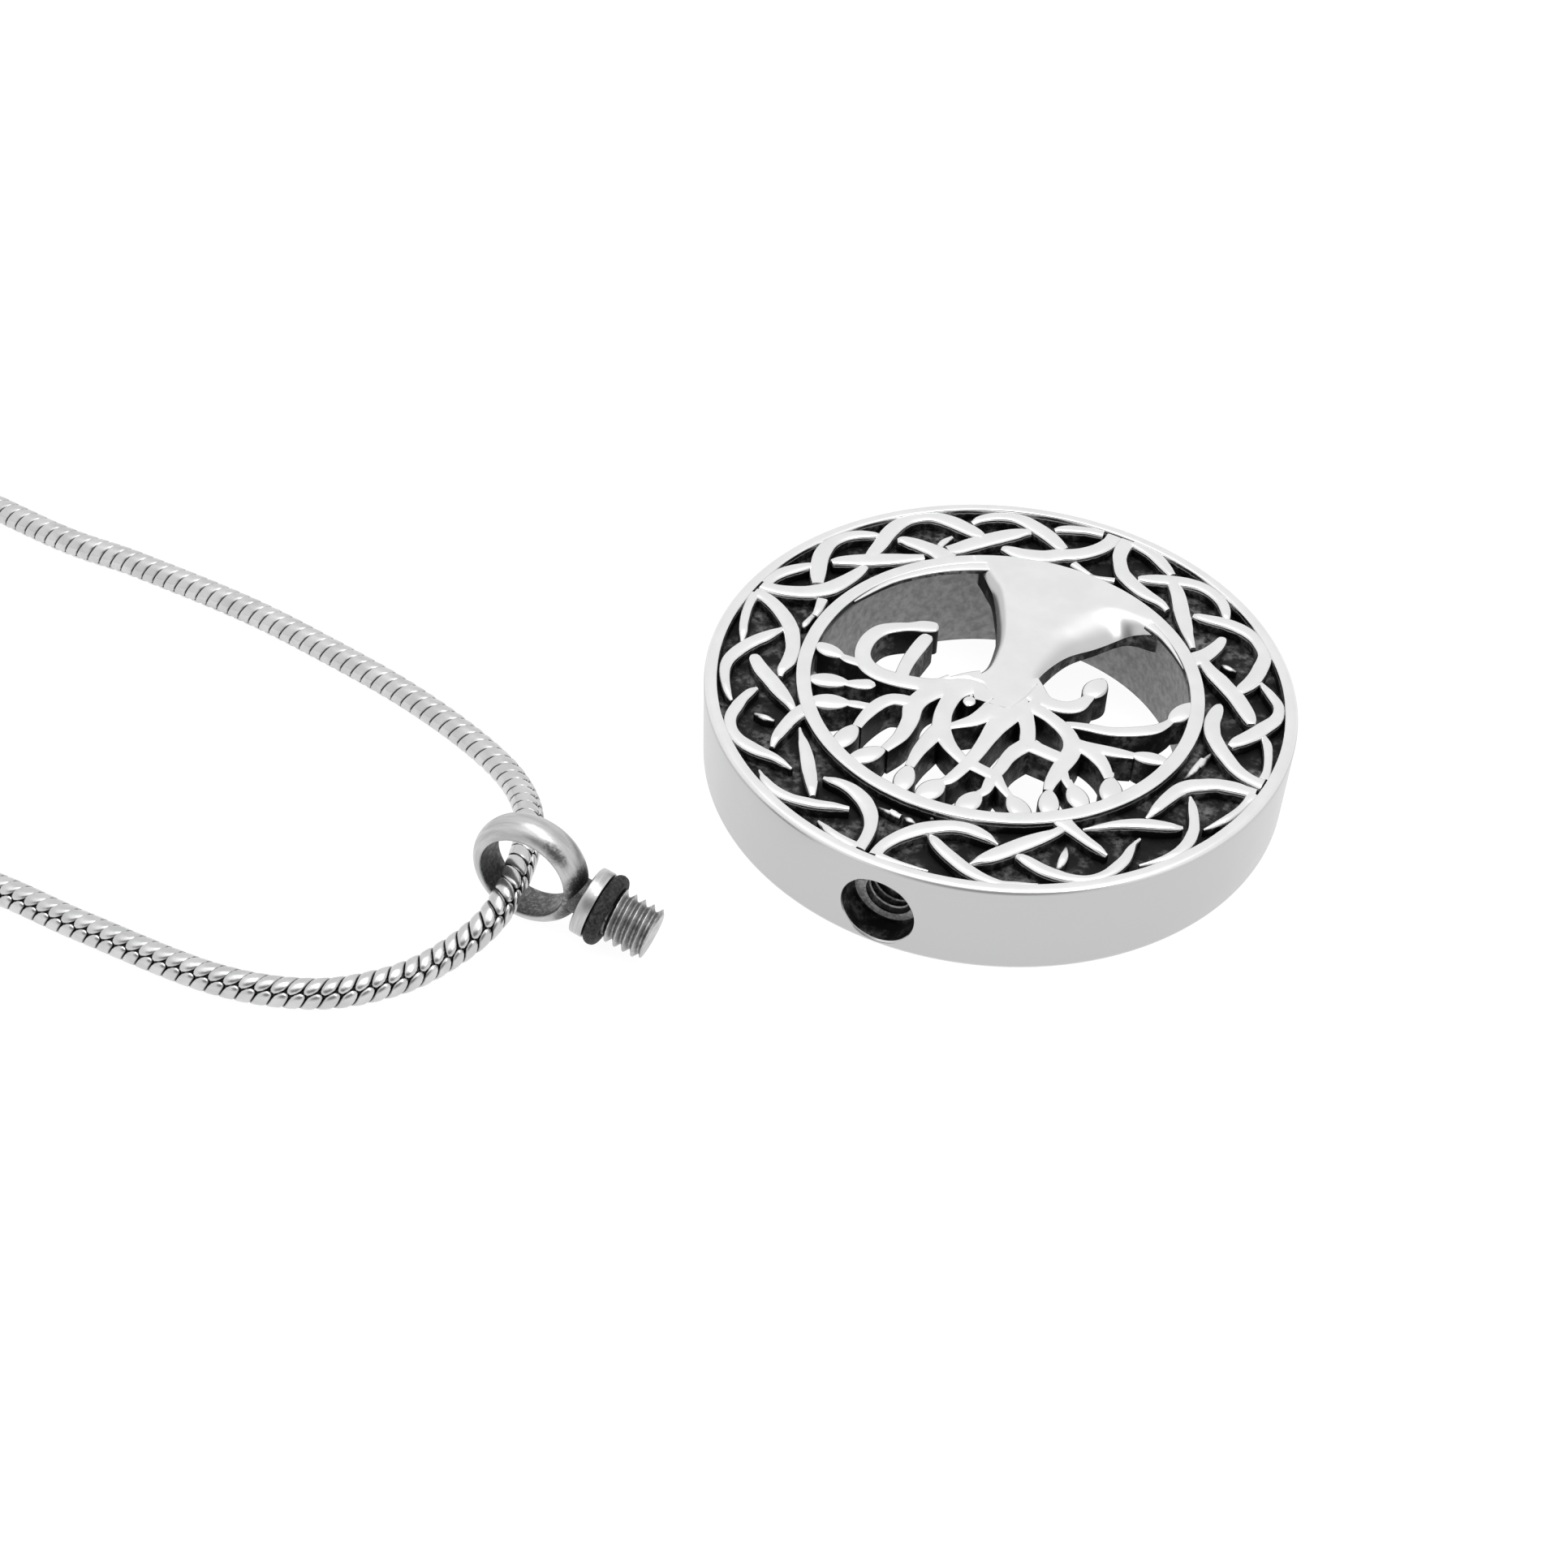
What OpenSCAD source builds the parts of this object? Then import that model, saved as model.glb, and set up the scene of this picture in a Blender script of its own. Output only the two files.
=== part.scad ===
// Keepsake urn pendant: a round locket with a knotwork border around a pierced tree of life,
// lying face up with its ash chamber open, and beside it the bail screw that closes the
// chamber, with its rubber seal, threaded on a round snake chain.
// Lengths are in millimetres. The origin is the centre of the locket's flat back, on the surface
// it lies on. +Z goes up through the face, and +Y out of the threaded hole, so that the tree's
// crown points to +Y.

/* [Locket] */
// Diameter of the locket
locket_d = 28; // [26:0.5:34]
// Thickness of the locket
locket_h = 5; // [4.8:0.1:7]
// Diameter of the pierced middle
opening_d = 17.9; // [16:0.1:18.4]
// Width of the polished band around the pierced middle
band_w = 0.7; // [0.5:0.05:0.9]
// Width of the outer rim at the face
rim_w = 0.62; // [0.45:0.01:0.9]
// Depth of the blackened recess behind the knotwork
knot_depth = 0.7; // [0.4:0.05:0.8]
// How far the knotwork lies below the rim
knot_sink = 0.06; // [0.02:0.02:0.2]
// Full width of a strand of the knotwork
strand_w = 0.52; // [0.3:0.01:0.6]
// How far the knotwork is turned against the threaded hole, in degrees
knot_turn = -4.7; // [-15:0.1:15]
// Thickness of the tree, below the face
tree_t = 1.5; // [0.8:0.1:3]
// How far the tree lies below the rim
tree_sink = 0.03; // [0.01:0.01:0.1]
// Radius of the rim's upper edge
rim_edge_r = 0.3; // [0.1:0.05:0.4]
// Radius of the lower edge of the side
back_edge_r = 0.5; // [0.1:0.05:0.8]

/* [Ash chamber] */
// Wall around the hollow ring that holds the ashes
wall_t = 0.85; // [0.6:0.05:1]
// How far the hole's axis lies above the middle of the solid height
hole_lift = 0.1; // [0:0.02:0.2]
// Length of the threaded wall behind the seat
tapped_len = 2.2; // [1.4:0.1:2.4]
// Metal left around the seat inside the chamber
boss_wall = 0.6; // [0.4:0.05:1]

/* [Screw thread] */
// Major radius of the thread
thread_r = 1.25; // [1:0.05:1.4]
// Depth of the thread
thread_depth = 0.22; // [0.1:0.02:0.28]
// Pitch of the thread
thread_pitch = 0.45; // [0.3:0.05:0.6]
// Length of the screw's threaded end
thread_len = 2; // [1.4:0.05:2.6]
// Flat left on each crest
crest_w = 0.1; // [0.05:0.01:0.15]
// Chamfer of the screw's tip
tip_chamfer = 0.14; // [0.05:0.01:0.2]

/* [Bail screw] */
// Outer radius of the bail ring
bail_r = 2.75; // [2.5:0.05:3.2]
// Radius of the bail's eye
eye_r = 2.05; // [1.6:0.05:2.2]
// Width of the bail ring along its own axis
bail_w = 1.8; // [1:0.1:2.4]
// Radius of the collar
collar_r = 1.6; // [1.45:0.05:1.8]
// Thickness of the collar
collar_t = 0.65; // [0.4:0.05:1]
// Radius of the neck between the ring and the collar
neck_r = 0.85; // [0.6:0.05:1.2]
// Length of the neck outside the ring
neck_len = 0.12; // [0.05:0.01:0.5]

/* [Seal] */
// Inner radius of the rubber ring
seal_r = 1.05; // [0.95:0.01:1.2]
// Thickness of the rubber ring
seal_t = 0.66; // [0.4:0.02:0.9]

/* [Chain] */
// Diameter of the snake chain
chain_d = 1.4; // [0.8:0.1:1.6]
// Length of the clasp
clasp_len = 9; // [6:0.5:14]
// Diameter of the clasp
clasp_d = 2.8; // [2.2:0.1:4]
// Depth of the sockets in which the chain ends
socket_depth = 1.6; // [1:0.1:2.5]

/* [Fits] */
// Gap between pieces that rest on each other
seat_gap = 0.03; // [0.01:0.01:0.06]
// Radial play of the seal in the seat of the hole
seat_play = 0.05; // [0.02:0.01:0.1]
// Radial play of the chain in the clasp's sockets
socket_play = 0.08; // [0.05:0.01:0.15]

/* [Hidden] */
$fn = 96;

locket_r = locket_d / 2;
opening_r = opening_d / 2;
band_r = opening_r + band_w;
rim_r = locket_r - rim_w;
floor_z = locket_h - knot_depth;
// Overlap of raised work with the metal that carries it
root = 0.1;
// Steps of a quarter round in the locket's edges
edge_steps = 6;

// Threaded hole
seal_outer_r = seal_r + seal_t;
seat_r = max(seal_outer_r, collar_r) + seat_play;
seat_depth = collar_t + seal_t + seat_gap;
seat_y = locket_r - seat_depth;
hole_z = floor_z / 2 + hole_lift;
tapped_r = thread_r - thread_depth;
boss_r = seat_r + boss_wall;
boss_y = seat_y - tapped_len;

// Bail screw, measured along its axis from the middle of the bail ring
collar_x = bail_r + neck_len;
seal_x = collar_x + collar_t + seat_gap;
thread_x = seal_x + seal_t + seat_gap;
tip_x = thread_x + thread_len;
tip_r = thread_r - tip_chamfer;
shank_r = seal_r - seat_gap;
// Middle of the bail ring on the surface, and the plan direction of the screw's axis
bail_at = [14.6, 19];
bail_heading = 181;
// Turn of the bail ring about the screw's axis
bail_lean = -4.5;
// The screw tips until the last crest of its thread, or the seal, lies on the surface
function touch_angle(x, r) = asin(bail_r / norm([x, r])) - atan(r / x);
crest_touch = touch_angle(tip_x - tip_chamfer, thread_r);
seal_touch = touch_angle(seal_x + seal_t / 2, seal_outer_r);
bail_pitch = min(crest_touch, seal_touch);

// Clasp
clasp_r = clasp_d / 2;
socket_r = chain_d / 2 + socket_play;
clasp_end_r = clasp_r * 0.75;
clasp_taper = 1.2;

// Route of the chain's middle line: round numbers along the loop, from the clasp through the
// bail's eye and back to the clasp
// [x, y, z]
lie = chain_d / 2;
clasp_at = [243, 18.6, clasp_r];
chain_route = [
  [243, 12, 1.4], [239, 0.5, 0.9], [222, -13, lie], [192, -19, lie], [158, -17, lie],
  [125, -10, lie], [95, -2, lie], [70, 4.5, lie], [52, 7.3, lie], [45, 7.5, lie],
  [38, 7.9, lie], [32.5, 8.7, lie], [27, 9.8, lie], [22.2, 11.3, lie], [19, 13, 0.85],
  [16.7, 15.6, 1.5], [15.35, 19, 1.95], [15.2, 21.6, 1.5], [16.2, 23.8, 0.8],
  [17.6, 26.1, lie], [20.2, 28.2, lie], [24.5, 29.4, lie], [31.4, 29.5, lie],
  [38, 29.4, lie], [52, 30.4, lie], [70, 33.2, lie], [95, 39.5, lie], [125, 47.5, lie],
  [158, 54.5, lie], [192, 56.5, lie], [222, 50.5, lie], [239, 37, 0.9], [243, 25.2, 1.4]
];
// Steps between two route points, few where the chain runs straight
chain_steps = [for (i = [0 : len(chain_route) - 2]) i < 1 || i > 30 ? 3 : 2];
chain_sides = 8;

// Border knot, one quarter, drawn from the joint at its start. Angles are degrees clockwise,
// heights are shares of the recess from the inner band to the rim, widths are shares of
// the strand's full width. Strands narrow where they dive under another.
// [angle, height, width]
corner_high = [[1.5, 0.97, 0.7], [4.6, 0.96, 0.9], [8.9, 0.92, 0.95], [12, 0.86, 0.85],
               [15, 0.8, 0.65], [16.5, 0.77, 0.45]];
corner_low = [[1.6, 0.97, 0.75], [2.4, 0.78, 0.95], [4, 0.51, 1], [7, 0.29, 1],
              [10.8, 0.18, 1], [15.3, 0.155, 1], [19.5, 0.2, 0.9], [22.8, 0.26, 0.65],
              [24.8, 0.3, 0.4]];
inner_arc = [[19.4, 0.67, 0.4], [21, 0.6, 0.75], [25, 0.43, 1], [30, 0.315, 1],
             [35, 0.21, 1], [40, 0.125, 0.8], [42.5, 0.095, 0.45]];
outer_arc = [[11.3, 0.41, 0.5], [13, 0.5, 0.8], [15.9, 0.61, 1], [17.9, 0.7, 1],
             [20, 0.8, 1], [22.5, 0.895, 1], [26.5, 0.955, 1], [30, 0.93, 0.95],
             [33, 0.85, 0.8], [35, 0.8, 0.5]];
middle_arc = [[30, 0.43, 0.45], [32.2, 0.5, 0.75], [34.3, 0.6, 1], [36.2, 0.7, 1],
              [38.4, 0.8, 1], [40.9, 0.895, 1], [45, 0.96, 1], [49.1, 0.895, 1],
              [51.6, 0.8, 1], [53.8, 0.7, 1], [55.7, 0.6, 0.95], [57.8, 0.5, 0.75],
              [60, 0.43, 0.45]];
cross_strand = [[38.4, 0.63, 0.45], [39.4, 0.56, 0.75], [41, 0.45, 1], [42.8, 0.3, 1],
                [44.5, 0.17, 1], [46, -0.05, 1.1]];
short_strand = [[50, 0.6, 0.4], [49, 0.48, 0.6], [47.7, 0.35, 0.4]];
joint_link = [[-5.5, 0.19, 0.4], [-2.5, 0.16, 0.6], [1, 0.14, 0.6], [5, 0.15, 0.5],
              [7, 0.18, 0.4]];
// The corner and arc strands come twice, the second time mirrored about the quarter's middle
mirrored_strands = [corner_high, corner_low, inner_arc, outer_arc];
single_strands = [middle_arc, cross_strand];
low_strands = [short_strand, joint_link];
// Height of the low strands as a share of the recess
low_share = 0.55;

// Branches of the tree, in thousandths of the opening's radius from its middle
// [x, y, width]
branches = [
  [[-195, 103, 103], [-308, 133, 78], [-410, 180, 82], [-482, 236, 86], [-523, 308, 94],
   [-531, 390, 96], [-521, 502, 84], [-519, 605, 64], [-527, 665, 45]],
  [[-560, 285, 82], [-605, 293, 82], [-666, 322, 82], [-722, 373, 66], [-772, 440, 50]],
  [[-490, 262, 60], [-574, 270, 74], [-718, 246, 74], [-825, 221, 50]],
  [[-430, 170, 60], [-455, 148, 50], [-533, 127, 57], [-656, 103, 66], [-769, 45, 70],
   [-851, -16, 66], [-892, -82, 49], [-910, -135, 36]],
  [[-520, 450, 50], [-539, 482, 45], [-574, 543, 45], [-620, 592, 40]],
  [[-376, 797, 36], [-318, 754, 49], [-262, 701, 66], [-240, 670, 66]],
  [[-240, 691, 74], [-180, 680, 70], [-100, 665, 74]],
  [[-226, 850, 48], [-246, 810, 53], [-244, 748, 62], [-244, 687, 66], [-254, 615, 68],
   [-256, 543, 74], [-271, 472, 86], [-303, 400, 90]],
  [[-540, 420, 82], [-410, 404, 86], [-300, 390, 90]],
  [[-312, 410, 84], [-271, 287, 78], [-226, 205, 86], [-164, 113, 103]],
  [[-30, 855, 44], [-57, 810, 62], [-88, 683, 70], [-103, 574, 76], [-109, 461, 86],
   [-115, 349, 107], [-133, 226, 135], [-140, 120, 140]],
  [[-95, 670, 62], [-45, 648, 62], [45, 584, 78], [127, 496, 98]],
  [[164, 824, 48], [168, 703, 70], [158, 601, 86], [144, 500, 90]],
  [[122, 510, 103], [164, 390, 94], [178, 287, 92], [172, 195, 98], [127, 113, 115],
   [62, 72, 131], [0, 40, 140]],
  [[120, 460, 40], [78, 426, 53], [10, 353, 82], [-29, 271, 103], [-51, 185, 123],
   [-40, 90, 140]],
  [[330, 765, 50], [301, 666, 70], [295, 595, 82], [303, 492, 90], [328, 400, 103],
   [320, 318, 107], [277, 215, 123], [215, 110, 123]],
  [[526, 672, 50], [523, 595, 62], [506, 492, 78], [472, 414, 82], [420, 379, 86],
   [330, 365, 86]],
  [[660, 524, 34], [605, 517, 57], [543, 500, 49], [510, 485, 49]],
  [[724, 386, 37], [656, 365, 74], [605, 338, 74], [580, 320, 30]],
  [[90, 20, 123], [144, 62, 123], [215, 133, 115], [297, 189, 103], [379, 217, 103],
   [492, 238, 103], [595, 238, 98], [677, 205, 94], [734, 139, 86], [759, 51, 86],
   [756, -31, 88], [728, -103, 88], [670, -156, 78], [605, -195, 70], [549, -226, 90],
   [502, -244, 72], [478, -252, 30]],
  [[680, 205, 49], [779, 205, 57], [828, 195, 41]],
  [[476, 230, 74], [492, 133, 66], [502, 45, 52]],
  [[-120, -60, 150], [-154, -31, 144], [-205, 10, 127], [-267, 41, 98], [-328, 45, 90],
   [-390, 31, 90], [-435, -10, 86], [-457, -72, 62], [-465, -118, 52]],
  [[400, -930, 140], [473, -890, 122], [621, -794, 104], [749, -674, 88], [873, -504, 62],
   [974, -261, 28]],
  [[-600, -820, 90], [-648, -772, 78], [-749, -674, 42], [-840, -560, 20]]
];

// Leaves of the tree, in thousandths of the opening's radius
// [x of the stalk, y of the stalk, x of the tip, y of the tip, width]
leaves = [
  [-527, 650, -600, 850, 98], [-774, 420, -845, 620, 110], [-805, 218, -1010, 180, 86],
  [-900, -112, -985, -325, 103], [-612, 565, -745, 725, 103], [-362, 785, -525, 920, 103],
  [-228, 828, -178, 1022, 107], [-32, 832, 38, 1028, 115], [167, 806, 135, 1028, 98],
  [326, 752, 468, 940, 103], [532, 654, 562, 880, 103], [632, 515, 850, 606, 111],
  [704, 372, 925, 444, 103], [812, 196, 1015, 166, 90], [500, 82, 487, -172, 94],
  [-454, -84, -484, -278, 94]
];

// Outline of the trunk, in thousandths of the opening's radius, up the left flank, over the
// crown and down the right flank. Below, it runs into the band.
// [x, y]
trunk = [
  [-640, -760], [-537, -703], [-488, -668], [-445, -597], [-410, -533], [-367, -484],
  [-310, -435], [-254, -371], [-226, -299], [-205, -215], [-180, -133], [-176, -60],
  [-195, 25], [-190, 103], [-123, 180], [0, 170], [110, 130], [150, 60], [107, -25],
  [98, -94], [113, -201], [135, -299], [176, -412], [219, -504], [262, -590], [303, -660],
  [353, -718], [410, -787], [470, -850]
];
// Where the trunk's foot meets the band, in degrees
foot_angles = [-58, -130];
// Radius of the foot inside the band, as a share of the opening's radius
foot_share = 1.04;
// Steps of the foot's arc, of a branch between two of its points, and of a leaf's side
foot_steps = 10;
curve_steps = 2;
leaf_steps = 9;
// A leaf is this much fuller than a plain lens
leaf_power = 0.7;
// Slits narrower than this between two branches are filled
slit_w = 0.08;

// Point at share u between points i and i + 1 of a list, on a smooth curve through them all
function between(p, i, u) =
  let (
    a = p[max(i - 1, 0)],
    b = p[i],
    c = p[i + 1],
    d = p[min(i + 2, len(p) - 1)]
  )
  (2 * b + (c - a) * u + (2 * a - 5 * b + 4 * c - d) * u * u
   + (3 * b - 3 * c + d - a) * u * u * u) / 2;

// Smooth curve through a list of points, with a number of steps between each two
function curve(p, steps) =
  [for (i = [0 : len(p) - 2]) for (k = [0 : steps - 1]) between(p, i, k / steps), p[len(p) - 1]];

// Direction of a list of points at its point i
function along(p, i) =
  let (d = p[min(i + 1, len(p) - 1)] - p[max(i - 1, 0)])
  d / norm(d);

// Outline of a ribbon that follows points of [x, y, width]
function ribbon(p) =
  let (
    mid = [for (q = p) [q[0], q[1]]],
    left = [for (i = [0 : len(p) - 1])
            mid[i] + [-along(mid, i)[1], along(mid, i)[0]] * p[i][2] / 2],
    right = [for (i = [len(p) - 1 : -1 : 0])
             mid[i] - [-along(mid, i)[1], along(mid, i)[0]] * p[i][2] / 2]
  )
  concat(left, right);

// Strand of the border, from its angles, heights and widths
function strand_points(p) =
  [for (q = curve(p, curve_steps))
   let (r = band_r + q[1] * (rim_r - band_r))
   [r * sin(q[0]), r * cos(q[0]), q[2] * strand_w]];

// The same strand seen in a mirror about the middle of its quarter
function mirrored(p) = [for (i = [len(p) - 1 : -1 : 0]) [90 - p[i][0], p[i][1], p[i][2]]];

// Quarter round from angle a to angle b about a centre
function quarter(c, r, a, b) =
  [for (k = [0 : edge_steps]) c + r * [cos(a + (b - a) * k / edge_steps),
                                       sin(a + (b - a) * k / edge_steps)]];

// Half section of the locket without its hollows, with the recess for the border
module locket_section() {
  polygon(concat(
    [[opening_r, 0]],
    quarter([locket_r - back_edge_r, back_edge_r], back_edge_r, -90, 0),
    quarter([locket_r - rim_edge_r, locket_h - rim_edge_r], rim_edge_r, 0, 90),
    [[rim_r, locket_h], [rim_r, floor_z], [band_r, floor_z], [band_r, locket_h],
     [opening_r, locket_h]]
  ));
}

module strand(p) {
  polygon(ribbon(strand_points(p)));
}

module four_quarters() {
  for (q = [0 : 3]) rotate([0, 0, knot_turn - 90 * q]) children();
}

module border() {
  linear_extrude(root + knot_depth - knot_sink)
    four_quarters() {
      for (p = mirrored_strands) {
        strand(p);
        strand(mirrored(p));
      }
      for (p = single_strands) strand(p);
    }
  linear_extrude(root + knot_depth * low_share)
    four_quarters() {
      for (p = low_strands) strand(p);
    }
}

module leaf(p) {
  stalk = [p[0], p[1]];
  axis = [p[2], p[3]] - stalk;
  side = [-axis[1], axis[0]] / norm(axis) * p[4] / 2;
  polygon(concat(
    [for (k = [0 : leaf_steps])
     stalk + axis * k / leaf_steps + side * pow(sin(180 * k / leaf_steps), leaf_power)],
    [for (k = [leaf_steps - 1 : -1 : 1])
     stalk + axis * k / leaf_steps - side * pow(sin(180 * k / leaf_steps), leaf_power)]
  ));
}

module trunk_outline() {
  foot = [for (k = [0 : foot_steps])
          let (a = foot_angles[0] + (foot_angles[1] - foot_angles[0]) * k / foot_steps)
          1000 * foot_share * [cos(a), sin(a)]];
  polygon(concat(curve(trunk, curve_steps), foot));
}

module tree() {
  unit = opening_r / 1000;
  linear_extrude(tree_t - tree_sink)
    offset(delta = -slit_w / 2) offset(delta = slit_w / 2) {
      scale(unit) trunk_outline();
      for (p = branches) polygon(ribbon(curve(p * unit, curve_steps)));
      for (p = leaves) scale(unit) leaf(p);
    }
}

// Hollow ring for the ashes, closed around the seat of the screw by a boss
module chamber() {
  difference() {
    rotate_extrude()
      translate([opening_r + wall_t, wall_t])
        square([locket_r - opening_r - 2 * wall_t, floor_z - 2 * wall_t]);
    translate([0, boss_y, hole_z]) rotate([-90, 0, 0]) cylinder(r = boss_r, h = locket_r);
  }
}

// Side of a thread as points of [radius, length]: a flat crest, then a groove, once a turn
function thread_side(crest_r, groove_r, start, turns) =
  [for (i = [0 : turns]) for (k = [0 : (i < turns ? 2 : 1)])
   [k == 2 ? groove_r : crest_r,
    start + i * thread_pitch + (k == 0 ? 0 : k == 1 ? crest_w : (thread_pitch + crest_w) / 2)]];

// What is cut away for the threaded hole, along its axis from the chamber outwards
module hole_cutter() {
  turns = floor((tapped_len - crest_w) / thread_pitch);
  lead = (tapped_len - crest_w - turns * thread_pitch) / 2;
  rotate_extrude()
    polygon(concat(
      [[0, -wall_t], [tapped_r, -wall_t]],
      thread_side(tapped_r, thread_r + seat_gap, lead, turns),
      [[tapped_r, tapped_len], [seat_r, tapped_len], [seat_r, tapped_len + seat_depth + root],
       [0, tapped_len + seat_depth + root]]
    ));
}

module locket() {
  color([0.84, 0.84, 0.85])
    difference() {
      union() {
        rotate_extrude() locket_section();
        translate([0, 0, floor_z - root]) border();
        translate([0, 0, locket_h - tree_t]) tree();
      }
      chamber();
      translate([0, boss_y, hole_z]) rotate([-90, 0, 0]) hole_cutter();
    }
}

// Puts a piece that is drawn along +X from the middle of the bail ring where the screw lies
module on_bail_axis() {
  translate([bail_at[0], bail_at[1], bail_r])
    rotate([0, bail_pitch, bail_heading])
      rotate([bail_lean, 0, 0])
        children();
}

// The ring is flat inside the eye and domed outside
module bail_ring() {
  dome = bail_r - eye_r;
  rotate([90, 0, 0]) rotate([0, 0, 120])
    rotate_extrude()
      intersection() {
        translate([eye_r, 0]) scale([dome, bail_w / 2]) circle(r = 1);
        translate([eye_r, -bail_w]) square([2 * dome, 2 * bail_w]);
      }
}

module screw_body() {
  turns = floor((thread_len - tip_chamfer - crest_w) / thread_pitch);
  rotate([0, 90, 0])
    rotate_extrude()
      polygon(concat(
        [[0, eye_r + root], [neck_r, eye_r + root], [neck_r, collar_x], [collar_r, collar_x],
         [collar_r, collar_x + collar_t], [shank_r, collar_x + collar_t],
         [shank_r, thread_x - crest_w]],
        thread_side(thread_r, thread_r - thread_depth, thread_x, turns),
        [[thread_r, tip_x - tip_chamfer], [tip_r, tip_x], [0, tip_x]]
      ));
}

module bail_screw() {
  color([0.66, 0.66, 0.67]) on_bail_axis() {
    bail_ring();
    screw_body();
  }
}

module seal_ring() {
  color([0.12, 0.12, 0.13]) on_bail_axis()
    translate([seal_x + seal_t / 2, 0, 0]) rotate([0, 90, 0])
      rotate_extrude() translate([seal_r + seal_t / 2, 0]) circle(r = seal_t / 2);
}

// One ring of the chain's tube around a point of its route
function tube_ring(p, i, r) =
  let (
    t = along(p, i),
    side = cross(t, [0, 0, 1]) / norm(cross(t, [0, 0, 1])),
    up = cross(side, t)
  )
  [for (k = [0 : chain_sides - 1])
   let (a = 360 * k / chain_sides - 90) p[i] + r * (cos(a) * side + sin(a) * up)];

module tube(p, r) {
  n = chain_sides;
  last = len(p) - 1;
  points = [for (i = [0 : last]) each tube_ring(p, i, r)];
  walls = [for (i = [0 : last - 1]) for (k = [0 : n - 1])
           [i * n + k, i * n + (k + 1) % n, (i + 1) * n + (k + 1) % n, (i + 1) * n + k]];
  ends = [[for (k = [n - 1 : -1 : 0]) k], [for (k = [0 : n - 1]) last * n + k]];
  polyhedron(points, concat(walls, ends));
}

// A point of the chain's route, no lower than where the chain lies on the surface
function lying(p) = [p[0], p[1], max(p[2], lie)];

module chain() {
  path = [for (i = [0 : len(chain_route) - 2]) for (k = [0 : chain_steps[i] - 1])
          lying(between(chain_route, i, k / chain_steps[i])), chain_route[len(chain_route) - 1]];
  // The ends run on into the clasp's sockets
  inside = socket_depth - seat_gap;
  first = clasp_at - [0, clasp_len / 2 - inside, 0];
  final = clasp_at + [0, clasp_len / 2 - inside, 0];
  color([0.8, 0.8, 0.81]) tube(concat([first], path, [final]), chain_d / 2);
}

module clasp() {
  half = clasp_len / 2;
  color([0.8, 0.8, 0.81])
    translate(clasp_at) rotate([90, 0, 0])
      rotate_extrude()
        polygon([
          [0, socket_depth - half], [socket_r, socket_depth - half], [socket_r, -half],
          [clasp_end_r, -half], [clasp_r, clasp_taper - half], [clasp_r, half - clasp_taper],
          [clasp_end_r, half], [socket_r, half], [socket_r, half - socket_depth],
          [0, half - socket_depth]
        ]);
}

locket();
bail_screw();
seal_ring();
chain();
clasp();
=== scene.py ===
import math

import bmesh
import bpy
import numpy as np
from mathutils import Matrix, Vector, noise


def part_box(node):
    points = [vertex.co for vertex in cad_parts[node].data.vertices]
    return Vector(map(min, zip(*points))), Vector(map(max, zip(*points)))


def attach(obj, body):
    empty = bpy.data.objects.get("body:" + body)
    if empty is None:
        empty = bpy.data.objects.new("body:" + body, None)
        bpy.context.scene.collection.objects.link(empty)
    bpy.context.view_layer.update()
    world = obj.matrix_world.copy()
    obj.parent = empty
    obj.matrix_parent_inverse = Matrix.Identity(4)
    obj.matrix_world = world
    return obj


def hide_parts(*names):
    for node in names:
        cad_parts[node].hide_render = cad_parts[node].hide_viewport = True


# Keepsake urn pendant: the looks of a cast steel locket with a blackened knotwork border around
# a pierced tree of life, its bail screw with a rubber seal, and a round snake chain.
# Shapes are worked out in millimetres and made in metres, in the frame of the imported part.
MM = 0.001

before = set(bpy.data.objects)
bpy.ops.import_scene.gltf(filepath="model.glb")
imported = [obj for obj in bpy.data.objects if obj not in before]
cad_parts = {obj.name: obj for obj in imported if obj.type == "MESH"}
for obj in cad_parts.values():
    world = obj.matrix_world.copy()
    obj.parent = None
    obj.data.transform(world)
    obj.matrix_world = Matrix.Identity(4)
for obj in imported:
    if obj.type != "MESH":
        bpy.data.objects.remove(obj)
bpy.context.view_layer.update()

# Locket
LOCKET_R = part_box("locket")[1].x / MM
LOCKET_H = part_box("locket")[1].z / MM
OPENING_R = 8.95
BAND_R = OPENING_R + 0.7
RIM_R = LOCKET_R - 0.62
FLOOR_Z = LOCKET_H - 0.7
BACK_EDGE_R = 0.5
RIM_EDGE_R = 0.26
RIM_INNER_EDGE = 0.08
BAND_EDGE = 0.09
BODY_STEPS = 384
BACK_CHAMFER = 0.06
BACK_SPLIT_R = 11.5
SIDE_HEIGHTS = (1.6, 3.2, 4.3)
OPENING_HEIGHTS = (4.3, 3.5, 2.7, 1.9, 1.1, 0.5)
# The cast grain of the recess floor: steps across it, margin, height and two finenesses
FLOOR_STEPS = 12
FLOOR_MARGIN = 0.05
GRAIN_HEIGHT = 0.055
COARSE_GRAIN = 1400
FINE_GRAIN = 3100
# The least step, so that no two rings of points coincide and no cap is drawn from the axis
HAIR = 0.001

# Ash chamber and threaded hole, whose axis runs along +Y
WALL = 0.85
HOLE_Z = 2.25
SEAT_R = 1.76
SEAT_Y = 12.66
MOUTH_CHAMFER = 0.1
MOUTH_DEPTH = 0.14
TAPPED_LEN = 2.2
TAPPED_R = 1.03
BOSS_R = 2.36
BOSS_LEN = 8
THREAD_R = 1.25
THREAD_DEPTH = 0.25
PITCH = 0.45
THREAD_PLAY = 0.03
# Thread form: share of a half turn that the groove takes, share of the flank, and its roundness
GROOVE_SHARE = 0.16
FLANK_SHARE = 0.76
FLANK_POWER = 1.15
THREAD_AROUND = 96
THREAD_ALONG = 100

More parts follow.
